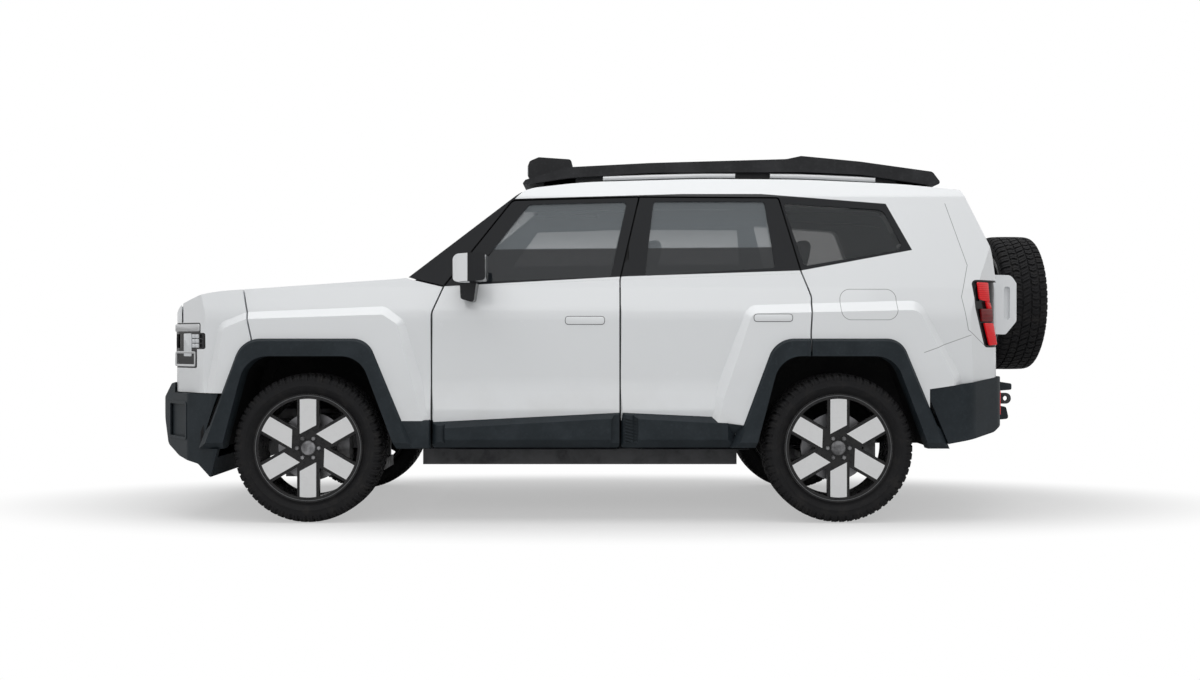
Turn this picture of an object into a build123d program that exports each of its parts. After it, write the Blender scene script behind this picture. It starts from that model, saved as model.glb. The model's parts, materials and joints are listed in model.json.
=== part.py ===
"""Five-door sport utility vehicle, built as an assembly of separate panels, glass, wheels and running gear.

Frame: X forward, Y to the vehicle's left, Z up, millimetres. The origin is on the ground, under the middle
of the overall box. Left-hand pieces are modelled and mirrored to the right.
"""

from build123d import *
import os
from math import cos, hypot, radians, sin

# Overall driving dimensions
WHEELBASE = 2910.0
FRONT_OVERHANG = 907.5
REAR_OVERHANG = 1340.5
LENGTH = FRONT_OVERHANG + WHEELBASE + REAR_OVERHANG

# Wheels and tyres
TYRE_R = 410.0
TYRE_W = 265.0
RIM_LIP_R = 298.0
RIM_SEAT_R = 284.0
RIM_W = 224.0
RIM_WALL = 12.0
WHEEL_Y = 815.0
SPOKE_COUNT = 6
SPINDLE_R = 30.0
RUNNING_FIT = 0.05

# Walls and gaps of the body
DOOR_WALL = 60.0
DOOR_BACK_GAP = 8.0
PILLAR_WALL = 40.0
PANEL_GAP = 9.0
DOOR_LAP = 62.0
HOOD_WALL = 28.0
ROOF_WALL = 45.0
GLASS_SINK = 6.0
GLASS_WALL = 5.0
SEAT_FIT = 0.3
MOVE_CLEARANCE = 5.0

# Stations along the vehicle
X_NOSE = LENGTH / 2
X_TAIL = -LENGTH / 2
X_AXLE_FRONT = X_NOSE - FRONT_OVERHANG
X_AXLE_REAR = X_AXLE_FRONT - WHEELBASE
X_FASCIA = X_NOSE - 77.0
X_HOOD_FRONT = X_FASCIA - 75.0
X_COWL = X_AXLE_FRONT - 487.0
X_SCREEN_BASE = X_COWL - 55.0
X_SCREEN_TOP = X_SCREEN_BASE - 639.0
X_DOOR_FRONT = X_AXLE_FRONT - 677.0
X_BELT_FRONT = X_DOOR_FRONT - 64.0
X_B_PILLAR = (X_AXLE_FRONT + X_AXLE_REAR) / 2 - 257.0
X_REAR_TOP = X_AXLE_REAR - 728.0
X_REAR_BELT = X_AXLE_REAR - 868.0
X_REAR_LOW = X_AXLE_REAR - 950.0
X_BUMPER_FRONT = X_AXLE_REAR - 490.0

# Heights
Z_SILL = 400.0
Z_UNDER = 100.0
Z_DOOR = 408.0
Z_BUMPER_TOP = 708.0
Z_BELT = 1290.0
Z_DRIP = 1812.0
Z_FLOOR = 480.0
Z_CARGO = 760.0
Z_TAILGATE = 822.0
Z_REAR_BUMPER = 800.0
BUMPER_FALL = 65.0

# Widths
Y_SHOULDER = 935.0
Y_FLARE = 968.0
Y_TRIM = 988.0
Y_HOOD = 776.0
Y_ROOF = 600.0
WIDE = Y_TRIM + 312.0

DOOR_INSET = DOOR_WALL
POCKET_INSET = DOOR_WALL + DOOR_BACK_GAP
CABIN_INSET = POCKET_INSET + PILLAR_WALL

# Side silhouette of the body. Columns: x, z, corner radius
SIDE_PROFILE = [
    (X_FASCIA - 12, Z_UNDER, 0),
    (X_FASCIA, 880, 300),
    (X_FASCIA - 10, 1120, 40),
    (X_HOOD_FRONT, 1202, 120),
    (X_AXLE_FRONT + 550, 1268, 900),
    (X_COWL, 1340, 0),
    (X_SCREEN_BASE, 1346, 0),
    (X_SCREEN_TOP, 1858, 250),
    (X_SCREEN_TOP - 320, 1898, 2500),
    (X_B_PILLAR - 460, 1918, 6000),
    (X_AXLE_REAR + 170, 1914, 6000),
    (X_AXLE_REAR - 400, 1886, 3000),
    (X_REAR_TOP, 1850, 30),
    (X_REAR_BELT, 1500, 600),
    (X_REAR_LOW, 1110, 500),
    (X_REAR_LOW + 14, Z_UNDER, 0),
]

# Half of the cross section. Columns: half width, z, corner radius
CROSS_SECTION = [
    (Y_SHOULDER - 60, Z_UNDER, 0),
    (Y_SHOULDER - 30, Z_SILL, 200),
    (Y_SHOULDER + 5, 620, 60),
    (Y_SHOULDER - 13, 760, 500),
    (Y_SHOULDER, 1150, 300),
    (Y_SHOULDER - 30, Z_BELT, 200),
    (Y_SHOULDER - 193, Z_DRIP, 60),
    (Y_SHOULDER - 285, Z_DRIP + 148, 0),
]

# Half of the plan view. Columns: x, half width, corner radius
PLAN = [
    (X_FASCIA + 8, 0, 4500),
    (X_FASCIA - 30, 700, 120),
    (X_FASCIA - 285, Y_SHOULDER + 25, 200),
    (X_REAR_LOW + 260, Y_SHOULDER + 25, 200),
    (X_REAR_LOW + 34, 790, 120),
    (X_REAR_LOW - 8, 0, 6000),
]

# Wheel arch outlines about the wheel centre. Columns: forward of the wheel, z, corner radius
ARCH_OPENING = [(528, 150, 0), (325, 915, 150), (-295, 915, 150), (-585, 150, 0)]
ARCH_TRIM = [(596, Z_DOOR, 0), (365, 1032, 165), (-348, 1032, 140), (-606, Z_DOOR, 0)]
ARCH_LAP = 25.0
FLARE_SLOPE = 48.0
FLARES = {
    "front": [
        (560, 520, 0),
        (470, 1080, 60),
        (330, 1135, 120),
        (-420, 1160, 60),
        (-510, 1100, 60),
        (-660, 520, 0),
    ],
    "rear": [
        (690, 520, 0),
        (650, 690, 60),
        (490, 1165, 60),
        (-440, 1185, 80),
        (-640, 800, 60),
        (-650, 520, 0),
    ],
}

# Door outlines on the side view. Columns: x, z, corner radius
X_SEAM_BELT = X_B_PILLAR - 37
X_SEAM_TOP = X_B_PILLAR - 110
X_DOOR_TAIL = X_AXLE_REAR + 157
Z_SEAM_BEND = 1336.0
# The line along which a door's window frame stands on its panel. Columns: x, z
FRAME_FOOT = [(X_DOOR_FRONT, 1290), (X_B_PILLAR, Z_SEAM_BEND), (X_DOOR_TAIL, 1372)]
DOOR_OUTLINES = {
    "front": [
        (X_DOOR_FRONT, Z_DOOR, 20),
        (X_DOOR_FRONT, 1150, 90),
        (X_BELT_FRONT, 1298, 30),
        (X_BELT_FRONT - 370, 1788, 40),
        (X_SEAM_TOP, 1808, 10),
        (X_B_PILLAR, Z_SEAM_BEND, 40),
        (X_B_PILLAR, Z_DOOR, 20),
    ],
    "rear": [
        (X_B_PILLAR, Z_DOOR, 20),
        (X_B_PILLAR, Z_SEAM_BEND, 40),
        (X_SEAM_TOP, 1808, 10),
        (X_AXLE_REAR + 305, 1803, 20),
        (X_AXLE_REAR + 199, 1384, 60),
        (X_AXLE_REAR + 146, 1238, 90),
        (X_DOOR_TAIL, 1050, 60),
        (X_DOOR_TAIL, Z_DOOR, 0),
    ],
}

# Side glass outlines. Columns: x, z, corner radius
GLASS_OUTLINES = {
    "front": [
        (X_BELT_FRONT - 126, 1320, 15),
        (X_BELT_FRONT - 464, 1764, 40),
        (X_SEAM_TOP + 69, 1778, 20),
        (X_SEAM_BELT + 88, 1352, 15),
    ],
    "rear": [
        (X_SEAM_BELT - 100, 1356, 15),
        (X_SEAM_TOP - 80, 1780, 20),
        (X_AXLE_REAR + 386, 1780, 20),
        (X_AXLE_REAR + 340, 1402, 15),
    ],
    "quarter": [
        (X_AXLE_REAR + 178, 1412, 20),
        (X_AXLE_REAR + 282, 1772, 20),
        (X_AXLE_REAR - 280, 1732, 60),
        (X_AXLE_REAR - 378, 1506, 30),
    ],
}

# Door hinges
HINGE_SETBACK = 45.0
HINGE_Y = Y_SHOULDER - 30.0
HINGE_HEIGHTS = (660.0, 1040.0)
HINGE_PIN_R = 5.0
HINGE_BARREL_R = 10.0
HINGE_HALF = 40.0
HINGE_EYE_HALF = 15.0
HINGE_FIT = 0.05
DOOR_LEADS = {"front": X_DOOR_FRONT, "rear": X_B_PILLAR}
DOOR_SWING = 65.0


def outline(rows):
    """A closed face from rows of u, v and corner radius."""
    line = FilletPolyline(*[(u, v) for u, v, r in rows], radius=[r for u, v, r in rows], close=True)
    return make_face(line)


def grown(rows, amount):
    """The rows of an outline moved out by amount, or in where it is negative; arcs stay concentric."""
    area = sum(a[0] * b[1] - b[0] * a[1] for a, b in zip(rows, rows[1:] + rows[:1]))
    turn = 1.0 if area > 0 else -1.0
    moved = []
    for before, (u, v, r), after in zip(rows[-1:] + rows[:-1], rows, rows[1:] + rows[:1]):
        in_u, in_v = u - before[0], v - before[1]
        out_u, out_v = after[0] - u, after[1] - v
        in_size, out_size = hypot(in_u, in_v), hypot(out_u, out_v)
        n1 = (turn * in_v / in_size, -turn * in_u / in_size)
        n2 = (turn * out_v / out_size, -turn * out_u / out_size)
        reach = amount / (1 + n1[0] * n2[0] + n1[1] * n2[1])
        convex = turn * (in_u * out_v - in_v * out_u) > 0
        radius = max(r + (amount if convex else -amount), 0) if r else 0
        moved.append((u + reach * (n1[0] + n2[0]), v + reach * (n1[1] + n2[1]), radius))
    return moved


def side_block(rows, y_low, y_high, grow=0.0, taper=0.0):
    """A side-view outline carried along Y, from y_low out to y_high."""
    plane = Plane((0, y_low, 0), x_dir=(-1, 0, 0), z_dir=(0, 1, 0))
    face = outline(grown([(-x, z, r) for x, z, r in rows], grow))
    return extrude(plane * face, amount=y_high - y_low, taper=taper)


def cross_block(rows, x_low, x_high, grow=0.0, taper=0.0):
    """A rear-view outline of y, z and radius carried along X, from x_low forward to x_high."""
    face = outline(grown(rows, grow))
    return extrude(Plane.YZ.offset(x_low) * face, amount=x_high - x_low, taper=taper)


def plan_block(rows, z_low, z_high, grow=0.0):
    """A plan outline of x, y and radius carried up from z_low to z_high."""
    face = outline(grown(rows, grow))
    return extrude(Plane.XY.offset(z_low) * face, amount=z_high - z_low)


def both_sides(rows, axis):
    """Rows for one half, with their mirrored copies added; axis is the column that changes sign."""
    off_axis = [row for row in reversed(rows) if row[axis] != 0]
    flip = [tuple(-v if i == axis else v for i, v in enumerate(row)) for row in off_axis]
    return list(rows) + flip


def box(x_low, x_high, y_low, y_high, z_low, z_high):
    """A box from its low and high corners."""
    size = (x_high - x_low, y_high - y_low, z_high - z_low)
    middle = ((x_low + x_high) / 2, (y_low + y_high) / 2, (z_low + z_high) / 2)
    return Pos(*middle) * Box(*size)


def rod(x, y, z_low, z_high, radius):
    """An upright round bar."""
    return Pos(x, y, (z_low + z_high) / 2) * Cylinder(radius, z_high - z_low)


def cross_bar(x, z, y_low, y_high, radius):
    """A round bar along Y."""
    return Pos(x, (y_low + y_high) / 2, z) * Rot(90, 0, 0) * Cylinder(radius, y_high - y_low)


def right(part):
    """The right-hand copy of a left-hand piece."""
    return mirror(part, about=Plane.XZ)


def envelope(inset):
    """The plain body, taken in by inset on every side."""
    side = side_block(SIDE_PROFILE, -WIDE, WIDE, grow=-inset)
    cross = cross_block(both_sides(CROSS_SECTION, 0), X_TAIL, X_NOSE, grow=-inset)
    plan = plan_block(both_sides(PLAN, 1), 0, 2 * Z_DRIP, grow=-inset)
    return side & cross & plan


def arch_rows(rows, wheel_x):
    return [(wheel_x + dx, z, r) for dx, z, r in rows]


AXLES = {"front": X_AXLE_FRONT, "rear": X_AXLE_REAR}


def arch_cut(end, grow, y_low):
    """What the wheel arch takes out of the left side, from y_low outwards."""
    return side_block(arch_rows(ARCH_OPENING, AXLES[end]), y_low, WIDE, grow=grow)


LINER_Y = {"front": 430.0, "rear": 625.0}
LINER_WALL = 6.0


def body_skin():
    """The plain body with a raised flare round each wheel arch, cut off level along the sills."""
    skin = envelope(0) - box(X_TAIL, X_NOSE, -WIDE, WIDE, 0, Z_SILL)
    for end, rows in FLARES.items():
        flare = side_block(arch_rows(rows, AXLES[end]), Y_FLARE - 70, Y_FLARE, grow=60, taper=FLARE_SLOPE)
        skin += flare + right(flare)
    return skin


SKIN = body_skin()
INNER = {inset: envelope(inset) for inset in (DOOR_INSET, POCKET_INSET, CABIN_INSET)}


def inner_section(inset):
    """The body's cross section taken in by inset, over the whole length: what lies inside the side walls."""
    return cross_block(both_sides(CROSS_SECTION, 0), X_TAIL, X_NOSE, grow=-inset)


FRAME_FLANGE = 20.0
FRAME_STEP = 10.0
DOOR_BACK = inner_section(DOOR_INSET)
FLANGE_BACK = inner_section(FRAME_FLANGE)
POCKET_BACK = inner_section(POCKET_INSET)


def door_axis(end):
    """Where a left door's hinge line stands: x and y."""
    return DOOR_LEADS[end] - PANEL_GAP / 2 - HINGE_SETBACK, HINGE_Y


def door_prism(end, grow):
    return side_block(DOOR_OUTLINES[end], Y_ROOF - 40, WIDE, grow=grow)


def glass_prism(end, grow=0.0):
    return side_block(GLASS_OUTLINES[end], Y_ROOF, WIDE, grow=grow)


def glass_sheet():
    """The thin shell that every pane is cut from, a little below the skin."""
    return envelope(GLASS_SINK) - envelope(GLASS_SINK + GLASS_WALL)


GLASS = glass_sheet()


def swing_zone(end, y_face=HINGE_Y):
    """The room that a left door may fill: a round nose about its hinge line, and all that lies so far
    behind it that a face standing out to y_face stays within the nose's reach when the door is open."""
    x, y = door_axis(end)
    nose_r = HINGE_SETBACK + PANEL_GAP - MOVE_CLEARANCE
    open_at = radians(DOOR_SWING)
    back = max(((y_face - y) * sin(open_at) - nose_r) / cos(open_at), 0) if y_face > y else 0
    return box(X_TAIL, x - back, 0, WIDE, 0, 2 * Z_DRIP) + rod(x, y, 0, 2 * Z_DRIP, nose_r)


def above_frame_foot(drop):
    """All that lies above the foot of the window frames, lowered by drop."""
    (x_front, z_front), (x_mid, z_mid), (x_back, z_back) = FRAME_FOOT
    rows = [(x_front + 200, z_front - drop, 0), (x_front, z_front - drop, 0), (x_mid, z_mid - drop, 0)]
    rows += [(x_back, z_back - drop, 0), (x_back - 200, z_back - drop, 0)]
    rows += [(x_back - 200, 2 * Z_DRIP, 0), (x_front + 200, 2 * Z_DRIP, 0)]
    return side_block(rows, 0, WIDE)


def hinge_bracket(x, y, heights, y_root):
    """Fixed half of a door hinge: an arm out of the pillar with an upright pin at each height."""
    arms = []
    for z in heights:
        arm = box(x - 8, x + 8, y_root, y, z - HINGE_EYE_HALF, z + HINGE_EYE_HALF)
        eye = rod(x, y, z - HINGE_EYE_HALF, z + HINGE_EYE_HALF, HINGE_BARREL_R)
        arms.append(arm + eye + rod(x, y, z - HINGE_HALF, z + HINGE_HALF, HINGE_PIN_R))
    return arms


def hinge_knuckles(x, y, z, root):
    """Moving half of a door hinge: two barrels on webs, above and below the fixed eye."""
    knuckles = None
    bore = rod(x, y, z - HINGE_HALF - 1, z + HINGE_HALF + 1, HINGE_PIN_R + HINGE_FIT)
    for low, high in ((-HINGE_HALF, -HINGE_EYE_HALF - 1), (HINGE_EYE_HALF + 1, HINGE_HALF)):
        barrel = rod(x, y, z + low, z + high, HINGE_BARREL_R)
        web = box(x - root, x, y - HINGE_BARREL_R / 2, y + HINGE_BARREL_R / 2, z + low, z + high)
        knuckles = barrel + web if knuckles is None else knuckles + barrel + web
    return knuckles - bore


HINGE_NOTCH_BACK = 18.0
HINGE_NOTCH_SKIN = 11.0


def door_panel(end):
    """A left door: the whole wall in the door's outline, as a panel with hinge knuckles and the window frame
    that stands on it. The frame's inner part is stepped back from its flange, to clear the next frame."""
    x, y = door_axis(end)
    door = (SKIN - DOOR_BACK) & door_prism(end, -PANEL_GAP / 2)
    door &= swing_zone(end)
    door -= glass_prism(end)
    if end == "rear":
        door -= arch_cut("rear", ARCH_LAP, Y_ROOF)
    for z in HINGE_HEIGHTS:
        notch_half = HINGE_HALF + MOVE_CLEARANCE
        x_front, y_skin = x + 2 * HINGE_SETBACK, y + HINGE_NOTCH_SKIN
        door -= box(x - HINGE_NOTCH_BACK, x_front, Y_ROOF, y_skin, z - notch_half, z + notch_half)
        door += hinge_knuckles(x, y, z, HINGE_NOTCH_BACK + 4)
    frame = door & above_frame_foot(0)
    frame -= FLANGE_BACK - door_prism(end, -PANEL_GAP / 2 - FRAME_STEP)
    return [door - above_frame_foot(SEAT_FIT), frame]


def pane(end):
    """A side window, seated in its frame."""
    return GLASS & glass_prism(end, -SEAT_FIT)


CLADDING_TOP = {
    "front": [(X_DOOR_FRONT, 566), (X_B_PILLAR, 632)],
    "rear": [(X_B_PILLAR, 632), (X_AXLE_REAR + 620, 596)],
}
CLADDING_Y = 972.0
CLADDING_SLOPE = 40.0


def sill_rows(end):
    """Side outline of a door's lower cladding."""
    (x_front, z_front), (x_back, z_back) = CLADDING_TOP[end]
    x_front, x_back = x_front + 60, x_back - 60
    return [(x_front, Z_DOOR, 0), (x_front, z_front, 0), (x_back, z_back, 0), (x_back, Z_DOOR, 0)]


def arch_trim(end):
    """The dark ring round the left arch, seated on the panels and turned in round their cut edge."""
    rows = arch_rows(ARCH_TRIM, AXLES[end])
    ring = side_block(rows, Y_FLARE - 30, Y_TRIM, taper=35)
    ring += side_block(rows, Y_FLARE - 110, Y_FLARE - 30)
    ring -= arch_cut(end, 0, Y_ROOF)
    return ring - (SKIN - arch_cut(end, ARCH_LAP, Y_ROOF))


# Ribbed pad at the seam between the doors. Columns: ahead of the seam, z, corner radius
PAD = [
    (49, 430, 8),
    (49, 566, 8),
    (20, 613, 8),
    (-15, 616, 8),
    (-99, 574, 8),
    (-97, 438, 8),
    (-20, 380, 0),
    (20, 380, 0),
]
PAD_FLOOR = CLADDING_Y - 21.0
PAD_GROOVE = 9.0
PAD_RIBS = 8
PAD_PITCH = 17.0
PAD_SLANT = 22.0


def seam_pad():
    """What the pad takes out of the claddings: a six-sided hollow, and slanted grooves in its rear floor."""
    rows = [(X_B_PILLAR + dx, z, r) for dx, z, r in PAD]
    pad = side_block(rows, PAD_FLOOR, WIDE)
    x_back, x_front = X_B_PILLAR - 90, X_B_PILLAR - 10
    for i in range(PAD_RIBS):
        z = 430 + PAD_PITCH * i
        back = [(x_back, z, 0), (x_back, z + PAD_PITCH / 2, 0)]
        front = [(x_front, z + PAD_SLANT + PAD_PITCH / 2, 0), (x_front, z + PAD_SLANT, 0)]
        pad += side_block(back + front, PAD_FLOOR - PAD_GROOVE, PAD_FLOOR + 1)
    return pad


def door_cladding(end):
    """The dark lower cover of a left door, and on the rear door its share of the arch trim."""
    cover = side_block(sill_rows(end), CLADDING_Y - 62, CLADDING_Y, taper=CLADDING_SLOPE)
    if end == "rear":
        cover -= arch_cut("rear", ARCH_LAP, Y_ROOF)
    cover -= SKIN
    if end == "rear":
        cover += arch_trim("rear")
    cover &= door_prism(end, -PANEL_GAP / 2)
    cover &= swing_zone(end, CLADDING_Y)
    return cover - seam_pad()


SCREEN = both_sides([(790, 1372, 40), (652, 1838, 40)], 0)
BACKLIGHT = both_sides([(560, 1400, 40), (500, 1745, 60)], 0)
TAILGATE = both_sides([(712, Z_TAILGATE, 40), (726, 1290, 60), (670, 1856, 40)], 0)
TAILGATE_DRAFT = 8.0
X_TAILGATE_DEEP = X_REAR_TOP + 150


def tailgate_prism(grow):
    spread = grow + (X_REAR_LOW - X_TAIL) * 0.14
    return cross_block(TAILGATE, X_TAIL, X_TAILGATE_DEEP, grow=spread, taper=TAILGATE_DRAFT)


LAMP_WALL = 45.0
LAMP_SINK = 12.0
LAMP_RIM = 10.0
# Tail lamp on the side view. Columns: x, z, corner radius
LAMP_TAIL = [
    (X_REAR_LOW + 215, 1334, 25),
    (X_TAIL, 1334, 0),
    (X_TAIL, 962, 0),
    (X_REAR_LOW + 130, 962, 25),
    (X_REAR_LOW + 196, 1180, 80),
]
Y_LAMP_TAIL = 745.0
# Raised lights of the tail lamp. Columns: ahead of the rear at the top, at the foot, width, z top, z foot
TAIL_LIGHTS = [
    (182, 168, 73, 1322, 1218),
    (160, 154, 79, 1176, 1104),
    (136, 96, 60, 1098, 974),
]
# Head lamp across the body. Columns: y, z, corner radius
LAMP_HEAD = [(520, 848, 30), (960, 848, 0), (960, 1098, 0), (520, 1098, 30)]
# Head lamp on the side view, stepped at its rear end. Columns: x, z, corner radius
LAMP_HEAD_SIDE = [
    (X_FASCIA - 208, 848, 12),
    (X_FASCIA - 208, 953, 0),
    (X_FASCIA - 269, 953, 12),
    (X_FASCIA - 269, 1042, 12),
    (X_FASCIA - 236, 1042, 0),
    (X_FASCIA - 236, 1098, 12),
    (X_NOSE, 1098, 0),
    (X_NOSE, 848, 0),
]


def tail_lamp():
    """The left tail lamp, wrapped round the rear corner: a sunk shell with three raised lights."""
    lamp = (SKIN - envelope(LAMP_WALL)) & side_block(LAMP_TAIL, Y_LAMP_TAIL, WIDE)
    sunk = (lamp - envelope(LAMP_SINK)) & side_block(LAMP_TAIL, Y_LAMP_TAIL, WIDE, grow=-LAMP_RIM)
    for top, foot, width, z_top, z_foot in TAIL_LIGHTS:
        front = [(X_REAR_LOW + foot, z_foot, 0), (X_REAR_LOW + top, z_top, 0)]
        back = [(X_REAR_LOW + top - width, z_top, 0), (X_REAR_LOW + foot - width, z_foot, 0)]
        sunk -= side_block(front + back, Y_ROOF, WIDE)
    return lamp - sunk


def head_lamp_room(grow):
    """The room of the left head lamp in the front corner."""
    across = cross_block(LAMP_HEAD, X_AXLE_FRONT, X_NOSE, grow=grow)
    return across & side_block(LAMP_HEAD_SIDE, 0, WIDE, grow=grow)


def head_lamp():
    """The left head lamp, wrapped round the front corner: two bars, and an upright light in the hollow
    between them."""
    lamp = (SKIN - envelope(LAMP_WALL)) & head_lamp_room(0)
    sunk = (lamp - envelope(LAMP_SINK)) & box(X_FASCIA - 257, X_NOSE, 532, WIDE, 958, 1036)
    return lamp - (sunk - box(X_FASCIA - 164, X_FASCIA - 104, 700, WIDE, 848, 1098))


FENDER_SEAM = [(X_AXLE_FRONT + 385, 1400), (X_AXLE_FRONT + 300, 1010), (X_AXLE_FRONT + 300, Z_SILL)]


def fender_rows():
    """Side outline of a front wing, from the door to the fascia."""
    nose = [(x, z, 0) for x, z in FENDER_SEAM]
    return [
        (X_DOOR_FRONT, Z_SILL, 0),
        (X_DOOR_FRONT, 1150, 90),
        (X_BELT_FRONT, 1298, 0),
        (X_SCREEN_BASE, 1345, 0),
        (X_COWL, 1400, 0),
    ] + nose


def fender():
    """The left front wing."""
    half = PANEL_GAP / 2
    wall = (SKIN - INNER[POCKET_INSET]) & side_block(fender_rows(), Y_HOOD + half, WIDE, grow=-half)
    return wall - arch_cut("front", ARCH_LAP, Y_ROOF)


def hood():
    """The bonnet: the top of the body between the wings."""
    rows = both_sides([(X_HOOD_FRONT, Y_HOOD, 60), (X_COWL, Y_HOOD, 20)], 1)
    return (SKIN - envelope(HOOD_WALL)) & plan_block(rows, 1100, 1500, grow=-PANEL_GAP / 2)


def fascia():
    """The painted front end above the bumper, open for the lamps and the bonnet."""
    seam = [(x, z, 0) for x, z in FENDER_SEAM]
    rows = seam[:2] + [(seam[1][0], Z_BUMPER_TOP, 0), (X_NOSE, Z_BUMPER_TOP, 0), (X_NOSE, 1400, 0)]
    front = (SKIN - INNER[DOOR_INSET]) & side_block(rows, -WIDE, WIDE, grow=-PANEL_GAP / 2)
    hood_rows = both_sides([(X_HOOD_FRONT, Y_HOOD, 60), (X_SCREEN_TOP, Y_HOOD, 20)], 1)
    front -= plan_block(hood_rows, 1100, 1500, grow=PANEL_GAP / 2)
    cut = arch_cut("front", ARCH_LAP, Y_ROOF)
    lamp = head_lamp_room(SEAT_FIT) - envelope(LAMP_WALL + SEAT_FIT)
    return front - cut - right(cut) - lamp - right(lamp)


BODY_SIDE_ROWS = [
    (X_DOOR_FRONT + 100, Z_SILL, 0),
    (X_DOOR_FRONT + 100, 1300, 0),
    (X_COWL - 45, 1346, 0),
    (X_COWL - 45, 2 * Z_DRIP, 0),
    (X_TAIL, 2 * Z_DRIP, 0),
    (X_TAIL, Z_REAR_BUMPER, 0),
    (X_REAR_LOW + 20, Z_REAR_BUMPER, 0),
    (X_BUMPER_FRONT, Z_REAR_BUMPER - BUMPER_FALL, 0),
    (X_BUMPER_FRONT, Z_SILL, 0),
]


def body_side():
    """The left body side: sill, pillars, cant rail and rear quarter, with pockets for the doors."""
    side = (SKIN - INNER[CABIN_INSET]) & side_block(BODY_SIDE_ROWS, Y_ROOF, WIDE)
    outer = SKIN - INNER[POCKET_INSET]
    for end in DOOR_OUTLINES:
        side -= door_prism(end, PANEL_GAP / 2) - POCKET_BACK
        side -= door_prism(end, -DOOR_LAP) - arch_cut("rear", ARCH_LAP + 60, 0)
        x, y = door_axis(end)
        side -= rod(x, y, Z_DOOR - 8, Z_BELT, HINGE_SETBACK + 22)
    side -= outer & side_block(fender_rows(), Y_ROOF, WIDE, grow=PANEL_GAP / 2)
    for end in AXLES:
        side -= arch_cut(end, ARCH_LAP, LINER_Y[end])
    side -= cross_block(SCREEN, X_SCREEN_TOP - 400, X_NOSE)
    side -= glass_prism("quarter")
    side -= tailgate_prism(PANEL_GAP / 2)
    lamp = side_block(LAMP_TAIL, Y_LAMP_TAIL - SEAT_FIT, WIDE, grow=SEAT_FIT)
    return side - (lamp - envelope(LAMP_WALL + SEAT_FIT))


def roof():
    """The roof skin between the cant rails, with the header over the screen."""
    shell = (SKIN - envelope(ROOF_WALL)) & box(X_TAIL, X_NOSE, -Y_ROOF, Y_ROOF, Z_DRIP - 60, 2 * Z_DRIP)
    shell -= cross_block(SCREEN, X_SCREEN_TOP - 400, X_NOSE)
    return shell - tailgate_prism(PANEL_GAP / 2)


def fixed_glass():
    """Windscreen and the two rear quarter panes."""
    screen = GLASS & cross_block(SCREEN, X_SCREEN_TOP - 60, X_NOSE, grow=-SEAT_FIT)
    quarter = pane("quarter")
    return [screen, quarter, right(quarter)]


def wheel_liner(end):
    """The left wheel well: a roof that follows the arch, and an inner wall above the arms."""
    y_in, y_out = LINER_Y[end], Y_SHOULDER - POCKET_INSET - 20
    rows = arch_rows(ARCH_OPENING, AXLES[end])
    outer = side_block(rows, y_in, y_out, grow=ARCH_LAP - SEAT_FIT)
    well = outer - side_block(rows, y_in + LINER_WALL, y_out, grow=ARCH_LAP - SEAT_FIT - LINER_WALL)
    well &= box(X_TAIL, X_NOSE, 0, WIDE, Z_SILL + 15, 2 * Z_DRIP)
    return well - side_block(rows, 0, y_in + LINER_WALL, grow=-40) if end == "front" else well


BUMPER_WALL = 50.0
X_BUMPER_END = X_AXLE_FRONT + 470
FRONT_BUMPER = [
    (X_BUMPER_END - 60, Z_BUMPER_TOP, 0),
    (X_FASCIA - 30, Z_BUMPER_TOP, 0),
    (X_FASCIA - 30, 765, 0),
    (X_NOSE - 75, 757, 20),
    (X_NOSE, 668, 40),
    (X_NOSE - 8, 560, 200),
    (X_NOSE - 42, 412, 40),
    (X_NOSE - 148, 355, 60),
    (X_NOSE - 296, 322, 30),
    (X_NOSE - 375, 254, 20),
    (X_BUMPER_END - 60, 254, 0),
]
FRONT_BUMPER_CORE = [
    (X_BUMPER_END - 60, Z_BUMPER_TOP, 0),
    (X_NOSE, Z_BUMPER_TOP, 0),
    (X_NOSE - 8, 560, 0),
    (X_NOSE - 42, 412, 0),
    (X_NOSE - 296, 322, 0),
    (X_BUMPER_END - 60, 300, 0),
]
FRONT_BUMPER_PLAN = [
    (X_NOSE, 0, 0),
    (X_NOSE, 575, 80),
    (X_NOSE - 225, 862, 60),
    (X_NOSE - 400, 958, 60),
    (X_BUMPER_END - 80, 958, 0),
]
REAR_BUMPER = [
    (X_BUMPER_FRONT - SEAT_FIT, 428, 0),
    (X_BUMPER_FRONT - SEAT_FIT, Z_REAR_BUMPER - BUMPER_FALL - SEAT_FIT, 0),
    (X_REAR_LOW + 20, Z_REAR_BUMPER - SEAT_FIT, 0),
    (X_REAR_LOW - 50, 780, 20),
    (X_REAR_LOW - 50, 560, 60),
    (X_REAR_LOW + 60, 490, 60),
    (X_AXLE_REAR - 560, 428, 30),
]
REAR_BUMPER_PLAN = [
    (X_REAR_LOW - 50, 0, 0),
    (X_REAR_LOW - 50, 500, 300),
    (X_REAR_LOW + 10, 760, 120),
    (X_REAR_LOW + 230, 958, 120),
    (X_AXLE_REAR - 440, 958, 0),
]


def bumper(side_rows, core_rows, plan_rows, end):
    """A bumper shell: its side and plan outlines crossed, hollowed, and cut for the wheel arch."""
    plan = both_sides(plan_rows, 1)
    full = side_block(side_rows, -WIDE, WIDE) & plan_block(plan, 0, Z_DRIP)
    hollow = side_block(core_rows, -WIDE, WIDE, grow=-BUMPER_WALL)
    hollow &= plan_block(plan, 0, Z_DRIP, grow=-BUMPER_WALL)
    hollow += Pos(-120 if end == "front" else 120, 0, 0) * hollow
    cut = arch_cut(end, ARCH_LAP, 0)
    trim = side_block(arch_rows(ARCH_TRIM, AXLES[end]), Y_FLARE - 110, WIDE)
    return full - hollow - cut - right(cut) - trim - right(trim)


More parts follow.
